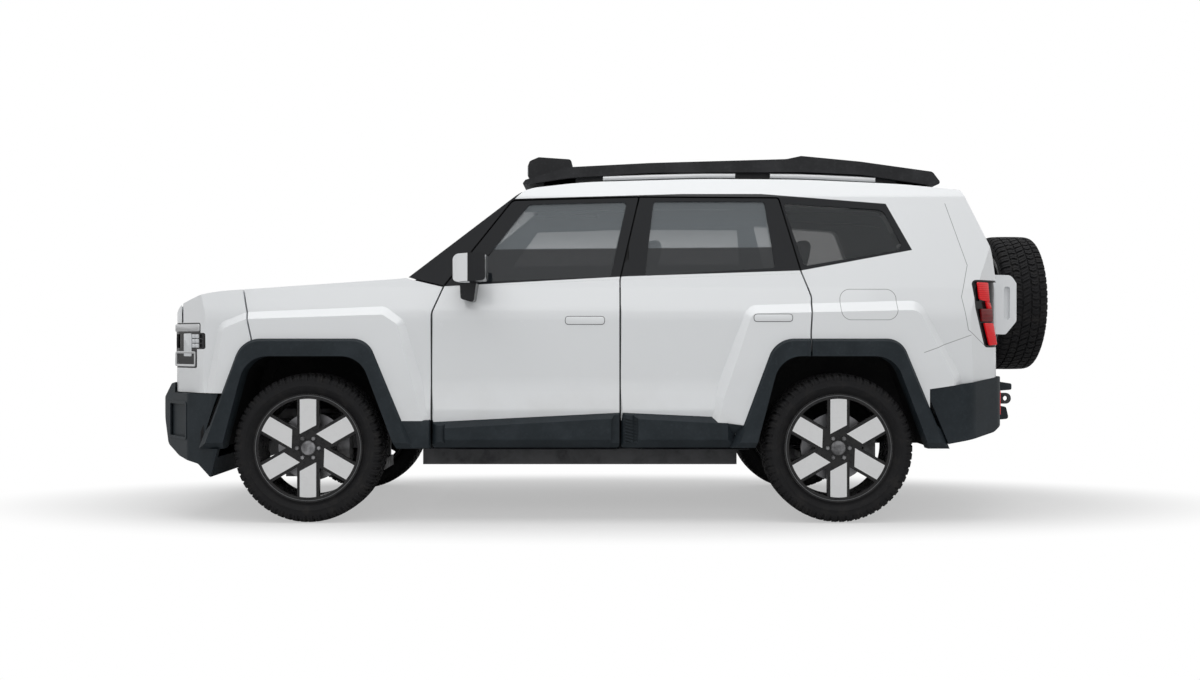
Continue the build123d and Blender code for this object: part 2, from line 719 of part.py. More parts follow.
CORNER_PANEL_SINK = 12.0
GRILLE_Y = 430.0
GRILLE_SLOTS = 4
GRILLE_PITCH = 44.0
GRILLE_SLOT = 28.0
GRILLE_DEPTH = 34.0


def front_bumper():
    """The dark front bumper, seated under and ahead of the fascia, with a sunk panel in each corner and a
    slotted grille in its middle."""
    bar = bumper(FRONT_BUMPER, FRONT_BUMPER_CORE, FRONT_BUMPER_PLAN, "front")
    bar -= SKIN & box(X_TAIL, X_NOSE, -WIDE, WIDE, Z_BUMPER_TOP, Z_DRIP)
    plan = both_sides(FRONT_BUMPER_PLAN, 1)
    z_low, z_high = 465, 645
    rim = plan_block(plan, z_low, z_high) - plan_block(plan, z_low, z_high, grow=-CORNER_PANEL_SINK)
    panel = rim & box(X_NOSE - 212, X_NOSE - 66, 0, WIDE, z_low, z_high)
    bar -= panel + right(panel)
    for i in range(GRILLE_SLOTS):
        z = 456 + GRILLE_PITCH * i
        bar -= box(X_NOSE - GRILLE_DEPTH, X_NOSE, -GRILLE_Y, GRILLE_Y, z, z + GRILLE_SLOT)
    return bar


REAR_STEP = [
    (X_REAR_LOW - 10, 770, 0),
    (X_REAR_LOW - 152, 748, 10),
    (X_REAR_LOW - 152, 712, 10),
    (X_REAR_LOW - 10, 700, 0),
]
REAR_SKID = [
    (X_REAR_LOW - 10, 630, 0),
    (X_REAR_LOW - 120, 612, 15),
    (X_REAR_LOW - 136, 542, 15),
    (X_REAR_LOW - 10, 530, 0),
]
REAR_STEP_Y = 450.0
TOW_Y, TOW_Z = 360.0, 658.0
TOW_PLATE = 20.0
TOW_EYE_R = 14.0
TOW_HALF = 32.0
X_TOW = X_REAR_LOW - 142.0
X_TOW_END = X_REAR_LOW - 174.0


def rear_bumper():
    """The dark rear bumper with its middle step, open for the cargo floor, slotted for the tow eyes."""
    bar = bumper(REAR_BUMPER, REAR_BUMPER, REAR_BUMPER_PLAN, "rear")
    bar += side_block(REAR_STEP, -REAR_STEP_Y, REAR_STEP_Y)
    bar += side_block(REAR_SKID, -REAR_STEP_Y, REAR_STEP_Y)
    bar -= box(X_REAR_LOW + 20, X_AXLE_REAR, -Y_ROOF - 60, Y_ROOF + 60, 690, Z_DRIP)
    half = TOW_PLATE / 2 + 2
    slot = box(X_TAIL, X_AXLE_REAR, TOW_Y - half, TOW_Y + half, TOW_Z - TOW_HALF - 2, TOW_Z + TOW_HALF + 2)
    return bar - slot - right(slot)


def tow_eye():
    """The left rear tow eye: a plate on the end of the rail with a hole for a shackle."""
    rows = [
        (X_REAR_LOW + 100, TOW_Z - TOW_HALF, 0),
        (X_REAR_LOW + 100, TOW_Z + TOW_HALF, 0),
        (X_TOW_END, TOW_Z + TOW_HALF, TOW_HALF - 2),
        (X_TOW_END, TOW_Z - TOW_HALF, TOW_HALF - 2),
    ]
    plate = side_block(rows, TOW_Y - TOW_PLATE / 2, TOW_Y + TOW_PLATE / 2)
    return plate - cross_bar(X_TOW, TOW_Z, TOW_Y - TOW_PLATE, TOW_Y + TOW_PLATE, TOW_EYE_R)


def tailgate():
    """The side-hung tailgate, with its window and its half of the hinges."""
    gate = (SKIN - INNER[DOOR_INSET]) & tailgate_prism(-PANEL_GAP / 2)
    gate &= box(X_TAIL, X_TAILGATE_DEEP - 20, -WIDE, WIDE, Z_TAILGATE, 2 * Z_DRIP)
    return gate - cross_block(BACKLIGHT, X_TAIL, X_TAILGATE_DEEP)


def backlight():
    return GLASS & cross_block(BACKLIGHT, X_TAIL, X_TAILGATE_DEEP, grow=-SEAT_FIT)


# Wheel. Columns of the sections: along the axle from the wheel's middle, radius
TYRE_SECTION = [
    (-RIM_W / 2 + 12, RIM_SEAT_R),
    (-RIM_W / 2 + 12, RIM_LIP_R + 8),
    (-TYRE_W / 2, RIM_LIP_R + 47),
    (-TYRE_W / 2, TYRE_R - 34),
    (-TYRE_W / 2 + 9, TYRE_R - 11),
    (-TYRE_W / 2 + 32, TYRE_R),
]
RIM_SECTION = [
    (-RIM_W / 2, RIM_SEAT_R - RIM_WALL),
    (-RIM_W / 2, RIM_LIP_R),
    (-RIM_W / 2 + 12 - SEAT_FIT, RIM_LIP_R),
    (-RIM_W / 2 + 12 - SEAT_FIT, RIM_SEAT_R - SEAT_FIT),
]
SPOKE_FACE = RIM_W / 2
SPOKE_DEPTH = 34.0
SPOKE_W = 122.0
PANEL_W = 90.0
PANEL_RAISE = 6.0
PANEL_REACH = RIM_SEAT_R - 2
HUB_R = 82.0
DISC_R = 188.0
DISC_FACE = 6.0
DISC_WALL = 26.0


def about_axle(face):
    """A half section of along-axle and radius, turned about the wheel's axle, which lies along Y."""
    plane = Plane((0, 0, 0), x_dir=(0, 1, 0), z_dir=(1, 0, 0))
    return revolve(plane * face, axis=Axis.Y)


def about_wheel(section):
    """Half of a section, doubled about the wheel's middle and turned round the axle."""
    return about_axle(make_face(Polyline(*section, *[(-u, r) for u, r in reversed(section)], close=True)))


def tyre():
    return about_wheel(TYRE_SECTION)


def rim():
    """A wheel with six slanted spoke panels, its brake disc and a blind spindle bore. Outside is +Y."""
    wheel = about_wheel(RIM_SECTION)
    half, root, tip = SPOKE_W / 2, HUB_R - 30, RIM_SEAT_R - 4
    spoke_rows = [(-half, root), (-half, tip), (half, tip), (half, root)]
    half, tip = PANEL_W / 2, PANEL_REACH - 8
    panel_rows = [(-half, 78), (-half, tip), (half, tip), (half, 126)]
    face_plane = Plane((0, SPOKE_FACE - SPOKE_DEPTH, 0), x_dir=(-1, 0, 0), z_dir=(0, 1, 0))
    spoke_face = face_plane * make_face(Polyline(*spoke_rows, close=True))
    panel_face = face_plane * make_face(Polyline(*panel_rows, close=True))
    spoke = extrude(spoke_face, amount=SPOKE_DEPTH - PANEL_RAISE)
    panel = extrude(panel_face, amount=SPOKE_DEPTH)
    disc = cross_bar(0, 0, DISC_FACE - DISC_WALL, DISC_FACE, DISC_R)
    hub = cross_bar(0, 0, DISC_FACE - DISC_WALL, SPOKE_FACE - 12, HUB_R)
    wheel += disc + hub
    arm = (spoke + panel) & cross_bar(0, 0, 0, TYRE_W, RIM_SEAT_R - 4)
    for i in range(SPOKE_COUNT):
        wheel += Rot(0, 360 / SPOKE_COUNT * i, 0) * arm
    bore = cross_bar(0, 0, DISC_FACE - DISC_WALL, SPOKE_FACE - 40, SPINDLE_R + RUNNING_FIT)
    return wheel - bore


def at_wheel(part, end, side):
    """A wheel piece set at one corner of the vehicle."""
    placed = Pos(AXLES[end], WHEEL_Y, TYRE_R) * part
    return placed if side == "left" else right(placed)


# Running gear
KINGPIN_Y = WHEEL_Y - 85.0
CARRIER_R = 62.0
BALL_LOW, BALL_HIGH = TYRE_R - 130.0, TYRE_R + 130.0
BALL_R = 14.0
BALL_DEPTH = 36.0
CALIPER_GAP = 8.0


def hub_carrier(wheel_x):
    """A left hub carrier: its bearing housing, the spindle that fills the hub's bore, and the caliper."""
    x, z = wheel_x, TYRE_R
    back = WHEEL_Y + DISC_FACE - DISC_WALL
    carrier = cross_bar(x, z, KINGPIN_Y - 40, back - CALIPER_GAP, CARRIER_R)
    carrier += cross_bar(x, z, KINGPIN_Y, WHEEL_Y + SPOKE_FACE - 46, SPINDLE_R)
    caliper = box(x - 215, x - 130, back - 45, WHEEL_Y + DISC_FACE + 40, z - 75, z + 75)
    slot = cross_bar(x, z, back - CALIPER_GAP, WHEEL_Y + DISC_FACE + CALIPER_GAP, DISC_R + CALIPER_GAP)
    caliper -= slot
    caliper -= cross_bar(x, z, back, WHEEL_Y + TYRE_W, 150)
    arm = box(x - 200, x, back - 45, back - CALIPER_GAP, z - 30, z + 30)
    return carrier + caliper + arm


def front_knuckle():
    """The left steering knuckle: the hub carrier on an upright with a ball socket at each end."""
    x = X_AXLE_FRONT
    upright = box(x - 35, x + 35, KINGPIN_Y - 30, KINGPIN_Y + 20, BALL_LOW, BALL_HIGH)
    knuckle = hub_carrier(x) + upright
    for low, high in ((BALL_LOW, BALL_LOW + BALL_DEPTH), (BALL_HIGH - BALL_DEPTH, BALL_HIGH)):
        knuckle -= rod(x, KINGPIN_Y, low, high, BALL_R + RUNNING_FIT)
    return knuckle


SUBFRAME_Y = 360.0
Z_RAIL = 440.0
Z_RAIL_TOP = 540.0
Z_REAR_RAIL = 600.0
ARM_WALL = 26.0
ARM_GAP = 6.0
RAIL_Y, RAIL_W = 340.0, 80.0


def front_suspension():
    """Front subframe on four posts, the lower and upper arms, and the ball pins of the knuckles."""
    x = X_AXLE_FRONT
    frame = box(x - 260, x + 260, -SUBFRAME_Y, SUBFRAME_Y, BALL_LOW - 85, BALL_LOW - 20)
    for dx in (-220, 220):
        post = box(x + dx - 30, x + dx + 30, RAIL_Y - 40, RAIL_Y, BALL_LOW - 85, Z_RAIL)
        frame += post + right(post)
    tip = KINGPIN_Y + 25
    root = SUBFRAME_Y - 40
    lower_rows = [(x + 35, tip, 15), (x + 150, root, 0), (x - 150, root, 0), (x - 35, tip, 15)]
    lower = plan_block(lower_rows, BALL_LOW - ARM_GAP - ARM_WALL, BALL_LOW - ARM_GAP)
    lower += rod(x, KINGPIN_Y, BALL_LOW - ARM_GAP, BALL_LOW + BALL_DEPTH - 6, BALL_R)
    root = RAIL_Y + RAIL_W / 2
    upper_rows = [(x + 35, tip, 15), (x + 70, root, 0), (x - 70, root, 0), (x - 35, tip, 15)]
    upper = plan_block(upper_rows, BALL_HIGH + ARM_GAP, BALL_HIGH + ARM_GAP + ARM_WALL)
    upper += rod(x, KINGPIN_Y, BALL_HIGH - BALL_DEPTH + 6, BALL_HIGH + ARM_GAP, BALL_R)
    return [frame + lower + right(lower), upper, right(upper)]


def rear_suspension():
    """Rear subframe on posts with its arms and the two hub carriers, which don't steer."""
    x = X_AXLE_REAR
    frame = box(x - 230, x + 230, -SUBFRAME_Y, SUBFRAME_Y, 300, 380)
    for dx in (-190, 100):
        post = box(x + dx - 30, x + dx + 30, RAIL_Y - 40, RAIL_Y, 340, Z_REAR_RAIL)
        frame += post + right(post)
    arm = box(x - 40, x + 40, SUBFRAME_Y - 40, KINGPIN_Y - 20, 330, 366)
    arm += box(x + 120, x + 170, SUBFRAME_Y - 40, KINGPIN_Y - 80, 330, 366)
    arm += box(x + 35, x + 170, KINGPIN_Y - 120, KINGPIN_Y - 60, 330, 366)
    carrier = hub_carrier(x) + arm
    carrier += box(x - 40, x + 40, KINGPIN_Y - 40, KINGPIN_Y - 5, 330, TYRE_R)
    return frame + carrier + right(carrier)


X_FIREWALL = X_SCREEN_BASE - 60.0
UNDERBODY_WALL = 40.0
BATTERY_Y = 700.0
Z_COWL = 1280.0
X_REAR_SEAT = X_AXLE_REAR + 300


def underbody():
    """Cabin floor, kick-up, cargo floor, rear sill, and the rails at both ends, each a piece of its own."""
    x_kick = X_REAR_SEAT - 100
    x_sill = X_REAR_LOW + 130
    z_under = Z_CARGO - UNDERBODY_WALL - SEAT_FIT
    y = Y_SHOULDER
    cabin = box(x_kick, X_FIREWALL, -y, y, Z_FLOOR - UNDERBODY_WALL, Z_FLOOR) & INNER[CABIN_INSET]
    kick = box(x_kick - UNDERBODY_WALL, x_kick - SEAT_FIT, -y, y, Z_FLOOR - UNDERBODY_WALL, z_under)
    kick &= INNER[CABIN_INSET]
    cargo = box(x_sill + SEAT_FIT, x_kick - SEAT_FIT, -y, y, Z_CARGO - UNDERBODY_WALL, Z_CARGO)
    cargo &= INNER[CABIN_INSET]
    corner = box(X_TAIL, X_AXLE_REAR - 480, Y_ROOF, WIDE, 0, Z_DRIP)
    well = arch_cut("rear", ARCH_LAP, LINER_Y["rear"])
    cabin -= well + right(well)
    kick -= well + right(well)
    cargo -= corner + right(corner) + well + right(well)
    sill = box(X_REAR_LOW + 70, x_sill, -Y_ROOF, Y_ROOF, Z_CARGO - UNDERBODY_WALL, Z_TAILGATE - 10)
    low, high = RAIL_Y - RAIL_W / 2, RAIL_Y + RAIL_W / 2
    front = box(X_FIREWALL + SEAT_FIT, X_NOSE - 160, low, high, Z_RAIL, Z_FLOOR)
    front += box(X_FIREWALL + 60, X_NOSE - 160, low, high, Z_RAIL, Z_RAIL_TOP)
    x_end = x_kick - UNDERBODY_WALL - SEAT_FIT
    rear = box(X_REAR_LOW + 40, x_end, low, high, Z_REAR_RAIL, z_under) + tow_eye()
    return [cabin, kick, cargo, sill, front, right(front), rear, right(rear)]


def cowl():
    """Bulkhead ahead of the cabin, the shelf under the bonnet's rear edge, and the scuttle."""
    y = Y_SHOULDER
    wall = box(X_FIREWALL, X_FIREWALL + 30, -y, y, Z_FLOOR, 1280)
    wall += box(X_FIREWALL, X_COWL + 60, -y, y, Z_COWL - 18, Z_COWL)
    wall &= INNER[CABIN_INSET]
    wall += box(X_FIREWALL, X_FIREWALL + 30, -Y_ROOF, Y_ROOF, 1240, 1320)
    scuttle = (SKIN - envelope(ROOF_WALL)) & box(X_FIREWALL - 40, X_COWL - 45, -Y_ROOF, Y_ROOF, 1240, 1500)
    scuttle -= cross_block(SCREEN, X_SCREEN_TOP - 400, X_NOSE)
    return wall + scuttle


def battery():
    return box(X_AXLE_REAR + 535, X_AXLE_FRONT - 600, -BATTERY_Y, BATTERY_Y, 300, Z_FLOOR - UNDERBODY_WALL)


def power_unit():
    """Engine and gearbox as one block, standing on the front rails."""
    x = X_AXLE_FRONT
    return box(x - 300, x + 330, -370, 370, Z_RAIL_TOP, 1120)


def dashboard():
    x = X_FIREWALL
    rows = [
        (x, 860, 0),
        (x, 1240, 0),
        (x - 130, 1285, 60),
        (x - 330, 1240, 50),
        (x - 350, 1120, 60),
        (x - 230, 860, 40),
    ]
    return side_block(rows, -Y_SHOULDER, Y_SHOULDER) & INNER[CABIN_INSET]


STEER_X, STEER_Y, STEER_Z = X_FIREWALL - 470.0, 380.0, 1150.0
STEER_TILT = 24.0
STEER_R = 185.0
STEER_GRIP_R = 15.0
COLUMN_R = 28.0
STUB_R = 10.0


def on_column(part):
    """A piece drawn about +Z, the column's line towards the driver, set at the steering wheel."""
    return Pos(STEER_X, STEER_Y, STEER_Z) * Rot(0, -90 + STEER_TILT, 0) * part


def steering_wheel():
    """A three-spoke wheel with a blind bore for the column's stub."""
    wheel = Torus(STEER_R, STEER_GRIP_R) + Pos(0, 0, -12) * Cylinder(62, 44)
    for angle in (0, 90, 180):
        wheel += Rot(0, 0, angle) * Pos(STEER_R / 2, 0, -6) * Box(STEER_R, 34, 14)
    wheel &= Cylinder(STEER_R + STEER_GRIP_R, 120)
    return on_column(wheel - Pos(0, 0, -20) * Cylinder(STUB_R + RUNNING_FIT, 40))


def steering_column():
    """The fixed column, from the dashboard to just short of the wheel's hub, with the wheel's stub."""
    column = Pos(0, 0, -40 - 140) * Cylinder(COLUMN_R, 280) + Pos(0, 0, -30) * Cylinder(STUB_R, 48)
    return on_column(column) - dashboard()


SEAT_WIDTH = 500.0


def seat_rows(x_back):
    """Side outline of a seat with its headrest; x_back is the foot of the backrest."""
    return [
        (x_back + 520, 640, 40),
        (x_back + 540, 790, 50),
        (x_back + 90, 760, 40),
        (x_back - 110, 1385, 30),
        (x_back - 130, 1600, 40),
        (x_back - 220, 1600, 40),
        (x_back - 215, 1385, 30),
        (x_back - 60, 690, 40),
        (x_back + 20, 640, 20),
    ]


def seat_base(x_back, y_low, y_high):
    return box(x_back + 60, x_back + 460, y_low + 40, y_high - 40, Z_FLOOR, 640)


X_FRONT_SEAT = X_B_PILLAR - 20


def front_seats():
    seats = []
    for y in (-STEER_Y, STEER_Y):
        low, high = y - SEAT_WIDTH / 2, y + SEAT_WIDTH / 2
        seats.append(side_block(seat_rows(X_FRONT_SEAT), low, high) + seat_base(X_FRONT_SEAT, low, high))
    return seats


def rear_bench():
    y = LINER_Y["rear"] - 20
    return side_block(seat_rows(X_REAR_SEAT), -y, y) + seat_base(X_REAR_SEAT, -y + 60, y - 60)


MIRROR_X, MIRROR_Y, MIRROR_Z = X_BELT_FRONT - 165.0, 1085.0, 1390.0


def door_mirror():
    """The left door mirror: a shell, narrowed to its round nose, on a stalk that stands on the door."""
    x, y, z = MIRROR_X, MIRROR_Y, MIRROR_Z
    shell_rows = [(x + 92, z - 78, 30), (x + 92, z + 70, 40), (x - 88, z + 80, 20), (x - 88, z - 70, 20)]
    nose = [(x - 88, y - 95, 8), (x + 92, y - 70, 30), (x + 92, y + 55, 50)]
    plan_rows = nose + [(x - 20, y + 95, 60), (x - 88, y + 95, 8)]
    shell = side_block(shell_rows, y - 95, y + 95) & plan_block(plan_rows, z - 100, z + 100)
    stalk_rows = [(x + 60, z - 70, 0), (x - 30, z - 70, 0), (x - 15, z - 185, 15), (x + 55, z - 165, 15)]
    stalk = side_block(stalk_rows, Y_SHOULDER - 60, y - 30)
    return shell + (stalk - SKIN)


RACK_Y = 640.0
RACK_ROWS = [
    (X_SCREEN_TOP + 30, 1886, 8),
    (X_SCREEN_TOP + 6, 1918, 10),
    (X_SCREEN_TOP - 240, 1990, 200),
    (X_B_PILLAR - 180, 2014, 2500),
    (X_AXLE_REAR + 244, 2036, 150),
    (X_AXLE_REAR + 160, 2054, 40),
    (X_AXLE_REAR - 175, 2022, 600),
    (X_AXLE_REAR - 590, 1964, 30),
    (X_AXLE_REAR - 640, 1898, 14),
    (X_AXLE_REAR - 600, 1884, 0),
    (X_AXLE_REAR - 175, 1948, 600),
    (X_AXLE_REAR + 160, 1962, 1500),
    (X_B_PILLAR - 180, 1958, 2500),
    (X_SCREEN_TOP - 240, 1928, 200),
]
RACK_RAIL_W = 70.0
RACK_SLATS = 9
RACK_SLAT_W = 60.0
# Rack feet. Columns: x, z inside the rack where the foot ends
RACK_FEET = [(X_SCREEN_TOP - 190, 1938), (X_B_PILLAR - 330, 1980), (X_AXLE_REAR - 480, 1934)]


def roof_rack():
    """A platform rack: a deep rim, cross slats and feet that stand on the roof."""
    rim_y = RACK_Y - RACK_RAIL_W
    rack = side_block(RACK_ROWS, -RACK_Y, RACK_Y)
    x_front, x_back = X_SCREEN_TOP - 290, X_AXLE_REAR - 500
    pitch = (x_front - x_back) / (RACK_SLATS + 1)
    for i in range(RACK_SLATS + 1):
        x = x_back + pitch * i
        rack -= box(x + RACK_SLAT_W / 2, x + pitch - RACK_SLAT_W / 2, -rim_y, rim_y, 0, 2 * Z_DRIP)
    for x, z_top in RACK_FEET:
        foot = box(x - 90, x + 90, Y_ROOF - 60, Y_ROOF, 1800, z_top) - SKIN
        rack += foot + right(foot)
    return rack


LIGHT_Y = 430.0
LIGHT_COUNT = 4


def light_bar():
    """The roof lamp bar that stands on the front of the rack."""
    rows = [
        (X_SCREEN_TOP - 2, 1950, 20),
        (X_SCREEN_TOP - 2, 2052, 25),
        (X_SCREEN_TOP - 60, 2077, 25),
        (X_SCREEN_TOP - 250, 2064, 20),
        (X_SCREEN_TOP - 262, 2016, 10),
        (X_SCREEN_TOP - 120, 1940, 0),
    ]
    bar = side_block(rows, -LIGHT_Y, LIGHT_Y) - side_block(RACK_ROWS, -WIDE, WIDE)
    pitch = 2 * LIGHT_Y / LIGHT_COUNT
    for i in range(LIGHT_COUNT):
        y = -LIGHT_Y + pitch * (i + 0.5)
        bar -= box(X_SCREEN_TOP - 2 - LAMP_SINK, X_NOSE, y - 92, y + 92, 1970, 2028)
    return bar


SPARE_Z = 1232.0
SPARE_X = X_TAIL + TYRE_W / 2
GATE_HINGE_X = X_REAR_LOW - 8.0
GATE_HINGE_Y = -742.0
GATE_HINGE_HEIGHTS = (895.0, 1392.0)


def on_tailgate(part):
    """A wheel piece set on the tailgate with its outer face to the rear."""
    return Pos(SPARE_X, 0, SPARE_Z) * Rot(0, 0, 90) * part


def spare_carrier():
    """The boss that holds the spare wheel off the tailgate, from its skin into the hub's bore."""
    boss = Rot(0, 90, 0) * Cylinder(150, 400)
    stub = Rot(0, 90, 0) * Cylinder(SPINDLE_R, 400)
    x_hub = SPARE_X - DISC_FACE + DISC_WALL
    boss = Pos(x_hub + 200 + SEAT_FIT, 0, SPARE_Z) * boss
    stub = Pos(x_hub + 200 - 60, 0, SPARE_Z) * stub
    return (boss + stub) - envelope(0) & box(X_TAIL, X_REAR_TOP, -WIDE, WIDE, 0, 2 * Z_DRIP)


def handle_housing():
    """The block with the pull handle, on the left of the tailgate."""
    x = X_REAR_LOW
    rows = [
        (x + 120, 1040, 0),
        (x + 120, 1380, 0),
        (x - 100, 1375, 40),
        (x - 132, 1330, 30),
        (x - 132, 1110, 30),
        (x - 70, 1035, 20),
    ]
    grip = [(x - 60, 1120, 15), (x - 60, 1310, 15), (x - 95, 1310, 15), (x - 95, 1120, 15)]
    return side_block(rows, 490, 600) - side_block(grip, 575, 600) - envelope(0)


GATE_BARREL_R = 12.0


def gate_hinge(fixed):
    """Both tailgate hinges on the right: the body's leaves with pins, or the gate's leaves with barrels."""
    x, y = GATE_HINGE_X, GATE_HINGE_Y
    leaves = []
    for z in GATE_HINGE_HEIGHTS:
        if fixed:
            low, high = z - HINGE_EYE_HALF, z + HINGE_EYE_HALF
            leaf = box(x - 8, X_REAR_TOP, y - 50, y - 8, low, high) - SKIN
            leaf += box(x - 8, x + 8, y - 50, y, low, high) + rod(x, y, low, high, GATE_BARREL_R)
            leaves.append(leaf + rod(x, y, z - HINGE_HALF, z + HINGE_HALF, HINGE_PIN_R))
            continue
        bore = rod(x, y, z - HINGE_HALF - 1, z + HINGE_HALF + 1, HINGE_PIN_R + HINGE_FIT)
        inner = HINGE_EYE_HALF + 1
        for low, high in ((z - HINGE_HALF, z - inner), (z + inner, z + HINGE_HALF)):
            leaf = box(x - 8, X_REAR_TOP, y + 45, y + 110, low, high) - SKIN
            leaf += box(x - 8, x + 8, y, y + 110, low, high) + rod(x, y, low, high, GATE_BARREL_R)
            leaves.append(leaf - bore)
    return leaves


HOOD_HINGE_X, HOOD_HINGE_Z = X_COWL + 18.0, 1300.0
HOOD_HINGE_Y = 600.0
HOOD_PIN_R = 4.0
HOOD_EYE_R = 9.0
HOOD_EYE_HALF = 10.0
HOOD_PIN_HALF = 32.0


def hood_bracket():
    """The left fixed half of the bonnet hinge, standing on the cowl shelf."""
    x, y, z = HOOD_HINGE_X, HOOD_HINGE_Y, HOOD_HINGE_Z
    bracket = box(x - 8, x + 8, y - HOOD_EYE_HALF, y + HOOD_EYE_HALF, Z_COWL, z)
    bracket += cross_bar(x, z, y - HOOD_EYE_HALF, y + HOOD_EYE_HALF, HOOD_EYE_R)
    return bracket + cross_bar(x, z, y - HOOD_PIN_HALF, y + HOOD_PIN_HALF, HOOD_PIN_R)


def hood_knuckles():
    """The left moving half of the bonnet hinge: two eyes on webs that rise into the bonnet."""
    x, y, z = HOOD_HINGE_X, HOOD_HINGE_Y, HOOD_HINGE_Z
    eyes = None
    for low, high in ((-HOOD_PIN_HALF, -HOOD_EYE_HALF - 1), (HOOD_EYE_HALF + 1, HOOD_PIN_HALF)):
        eye = cross_bar(x, z, y + low, y + high, HOOD_EYE_R)
        eye += box(x - 6, x + 6, y + low, y + high, z, z + 20)
        eyes = eye if eyes is None else eyes + eye
    return eyes - cross_bar(x, z, y - HOOD_PIN_HALF - 1, y + HOOD_PIN_HALF + 1, HOOD_PIN_R + HINGE_FIT)

os.makedirs("parts", exist_ok=True)


def save(name, shape):
    """Writes one node: a solid, or several that don't touch."""
    solids = shape if isinstance(shape, list) else [shape]
    found = [s for piece in solids for s in piece.solids()]
    export_step(Compound(children=found) if len(found) > 1 else found[0], f"parts/{name}.step")


def build():
    side = body_side()
    save("body_sides", [side, right(side)])
    save("roof_panel", roof())
    wing = fender()
    save("front_wings", [wing, right(wing)])
    eyes = hood_knuckles()
    save("hood_panel", hood() + eyes + right(eyes))
    save("front_fascia", fascia())
    save("front_bumper", front_bumper())
    save("rear_bumper", rear_bumper())
    lamp = head_lamp()
    save("head_lamps", [lamp, right(lamp)])
    lamp = tail_lamp()
    save("tail_lamps", [lamp, right(lamp)])
    save("fixed_glass", fixed_glass())
    gate = tailgate()
    for leaf in gate_hinge(False):
        gate += leaf
    save("tailgate_panel", gate)
    save("tailgate_glass", backlight())
    trims = [arch_trim("front")]
    rear_trim = arch_trim("rear") - door_prism("rear", PANEL_GAP / 2)
    trims.append(rear_trim)
    save("arch_trims", trims + [right(t) for t in trims])
    for end in DOOR_OUTLINES:
        for name, maker in (("door", door_panel), ("door_glass", pane), ("door_cladding", door_cladding)):
            made = maker(end)
            solids = made if isinstance(made, list) else [made]
            save(f"{name}_{end}_left", solids)
            save(f"{name}_{end}_right", [right(solid) for solid in solids])
    mirror_left = door_mirror()
    save("door_mirror_left", mirror_left)
    save("door_mirror_right", right(mirror_left))
    brackets = []
    for end in DOOR_OUTLINES:
        x, y = door_axis(end)
        for arm in hinge_bracket(x, y, HINGE_HEIGHTS, y - HINGE_SETBACK - 27):
            brackets.append(arm - side)
    bonnet = hood_bracket()
    fixed = [bonnet, right(bonnet)] + gate_hinge(True)
    save("hinge_brackets", brackets + [right(b) for b in brackets] + fixed)
    liners = [wheel_liner(end) for end in AXLES]
    save("wheel_liners", liners + [right(w) for w in liners])
    tyre_solid, rim_solid = tyre(), rim()
    for end in AXLES:
        for hand in ("left", "right"):
            save(f"tyre_{end}_{hand}", at_wheel(tyre_solid, end, hand))
            save(f"rim_{end}_{hand}", at_wheel(rim_solid, end, hand))
    save("spare_tyre", on_tailgate(tyre_solid))
    save("spare_rim", on_tailgate(rim_solid))
    save("spare_carrier", [spare_carrier(), handle_housing()])
    knuckle = front_knuckle()
    save("knuckle_left", knuckle)
    save("knuckle_right", right(knuckle))
    save("front_suspension", front_suspension())
    save("rear_suspension", rear_suspension())
    save("underbody", underbody())
    save("cowl", cowl())
    save("battery_pack", battery())
    save("power_unit", power_unit())
    save("dashboard", [dashboard(), steering_column()])
    save("steering_wheel", steering_wheel())
    save("front_seats", front_seats())
    save("rear_bench", rear_bench())
    save("roof_rack", roof_rack())
    save("light_bar", light_bar())


build()
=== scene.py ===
"""Boxy five-door sport utility vehicle: finishes, tyres, lamps, trim, seats and a plain studio."""
import json
import math

import bmesh
import bpy
import numpy as np
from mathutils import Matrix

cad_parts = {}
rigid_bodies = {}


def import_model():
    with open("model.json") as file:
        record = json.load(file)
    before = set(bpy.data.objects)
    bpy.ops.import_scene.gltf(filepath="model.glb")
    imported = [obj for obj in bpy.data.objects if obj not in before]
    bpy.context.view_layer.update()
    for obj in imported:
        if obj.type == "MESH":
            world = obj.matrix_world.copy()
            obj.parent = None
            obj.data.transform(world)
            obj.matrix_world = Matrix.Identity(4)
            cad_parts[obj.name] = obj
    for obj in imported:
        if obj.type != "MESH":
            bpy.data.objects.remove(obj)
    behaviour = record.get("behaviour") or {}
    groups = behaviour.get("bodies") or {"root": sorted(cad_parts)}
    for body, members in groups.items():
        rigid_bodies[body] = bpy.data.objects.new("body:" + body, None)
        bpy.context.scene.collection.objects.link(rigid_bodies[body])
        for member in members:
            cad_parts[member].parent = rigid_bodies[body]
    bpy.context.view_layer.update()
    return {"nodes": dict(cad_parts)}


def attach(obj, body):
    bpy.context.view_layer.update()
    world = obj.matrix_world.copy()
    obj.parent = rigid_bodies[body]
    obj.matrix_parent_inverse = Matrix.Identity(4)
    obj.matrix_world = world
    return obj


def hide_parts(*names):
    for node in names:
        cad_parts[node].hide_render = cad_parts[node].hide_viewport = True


for leftover in list(bpy.data.objects):
    bpy.data.objects.remove(leftover)
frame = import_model()
NODES = frame["nodes"]
bpy.context.view_layer.update()

AXLE_X = {"front": 1.6715, "rear": -1.2385}
WHEEL_Y = 0.815
WHEEL_Z = 0.410
SPARE_AT = (-2.4465, 0.0, 1.232)
SIDES = {"left": 1.0, "right": -1.0}


# ---- shader arithmetic

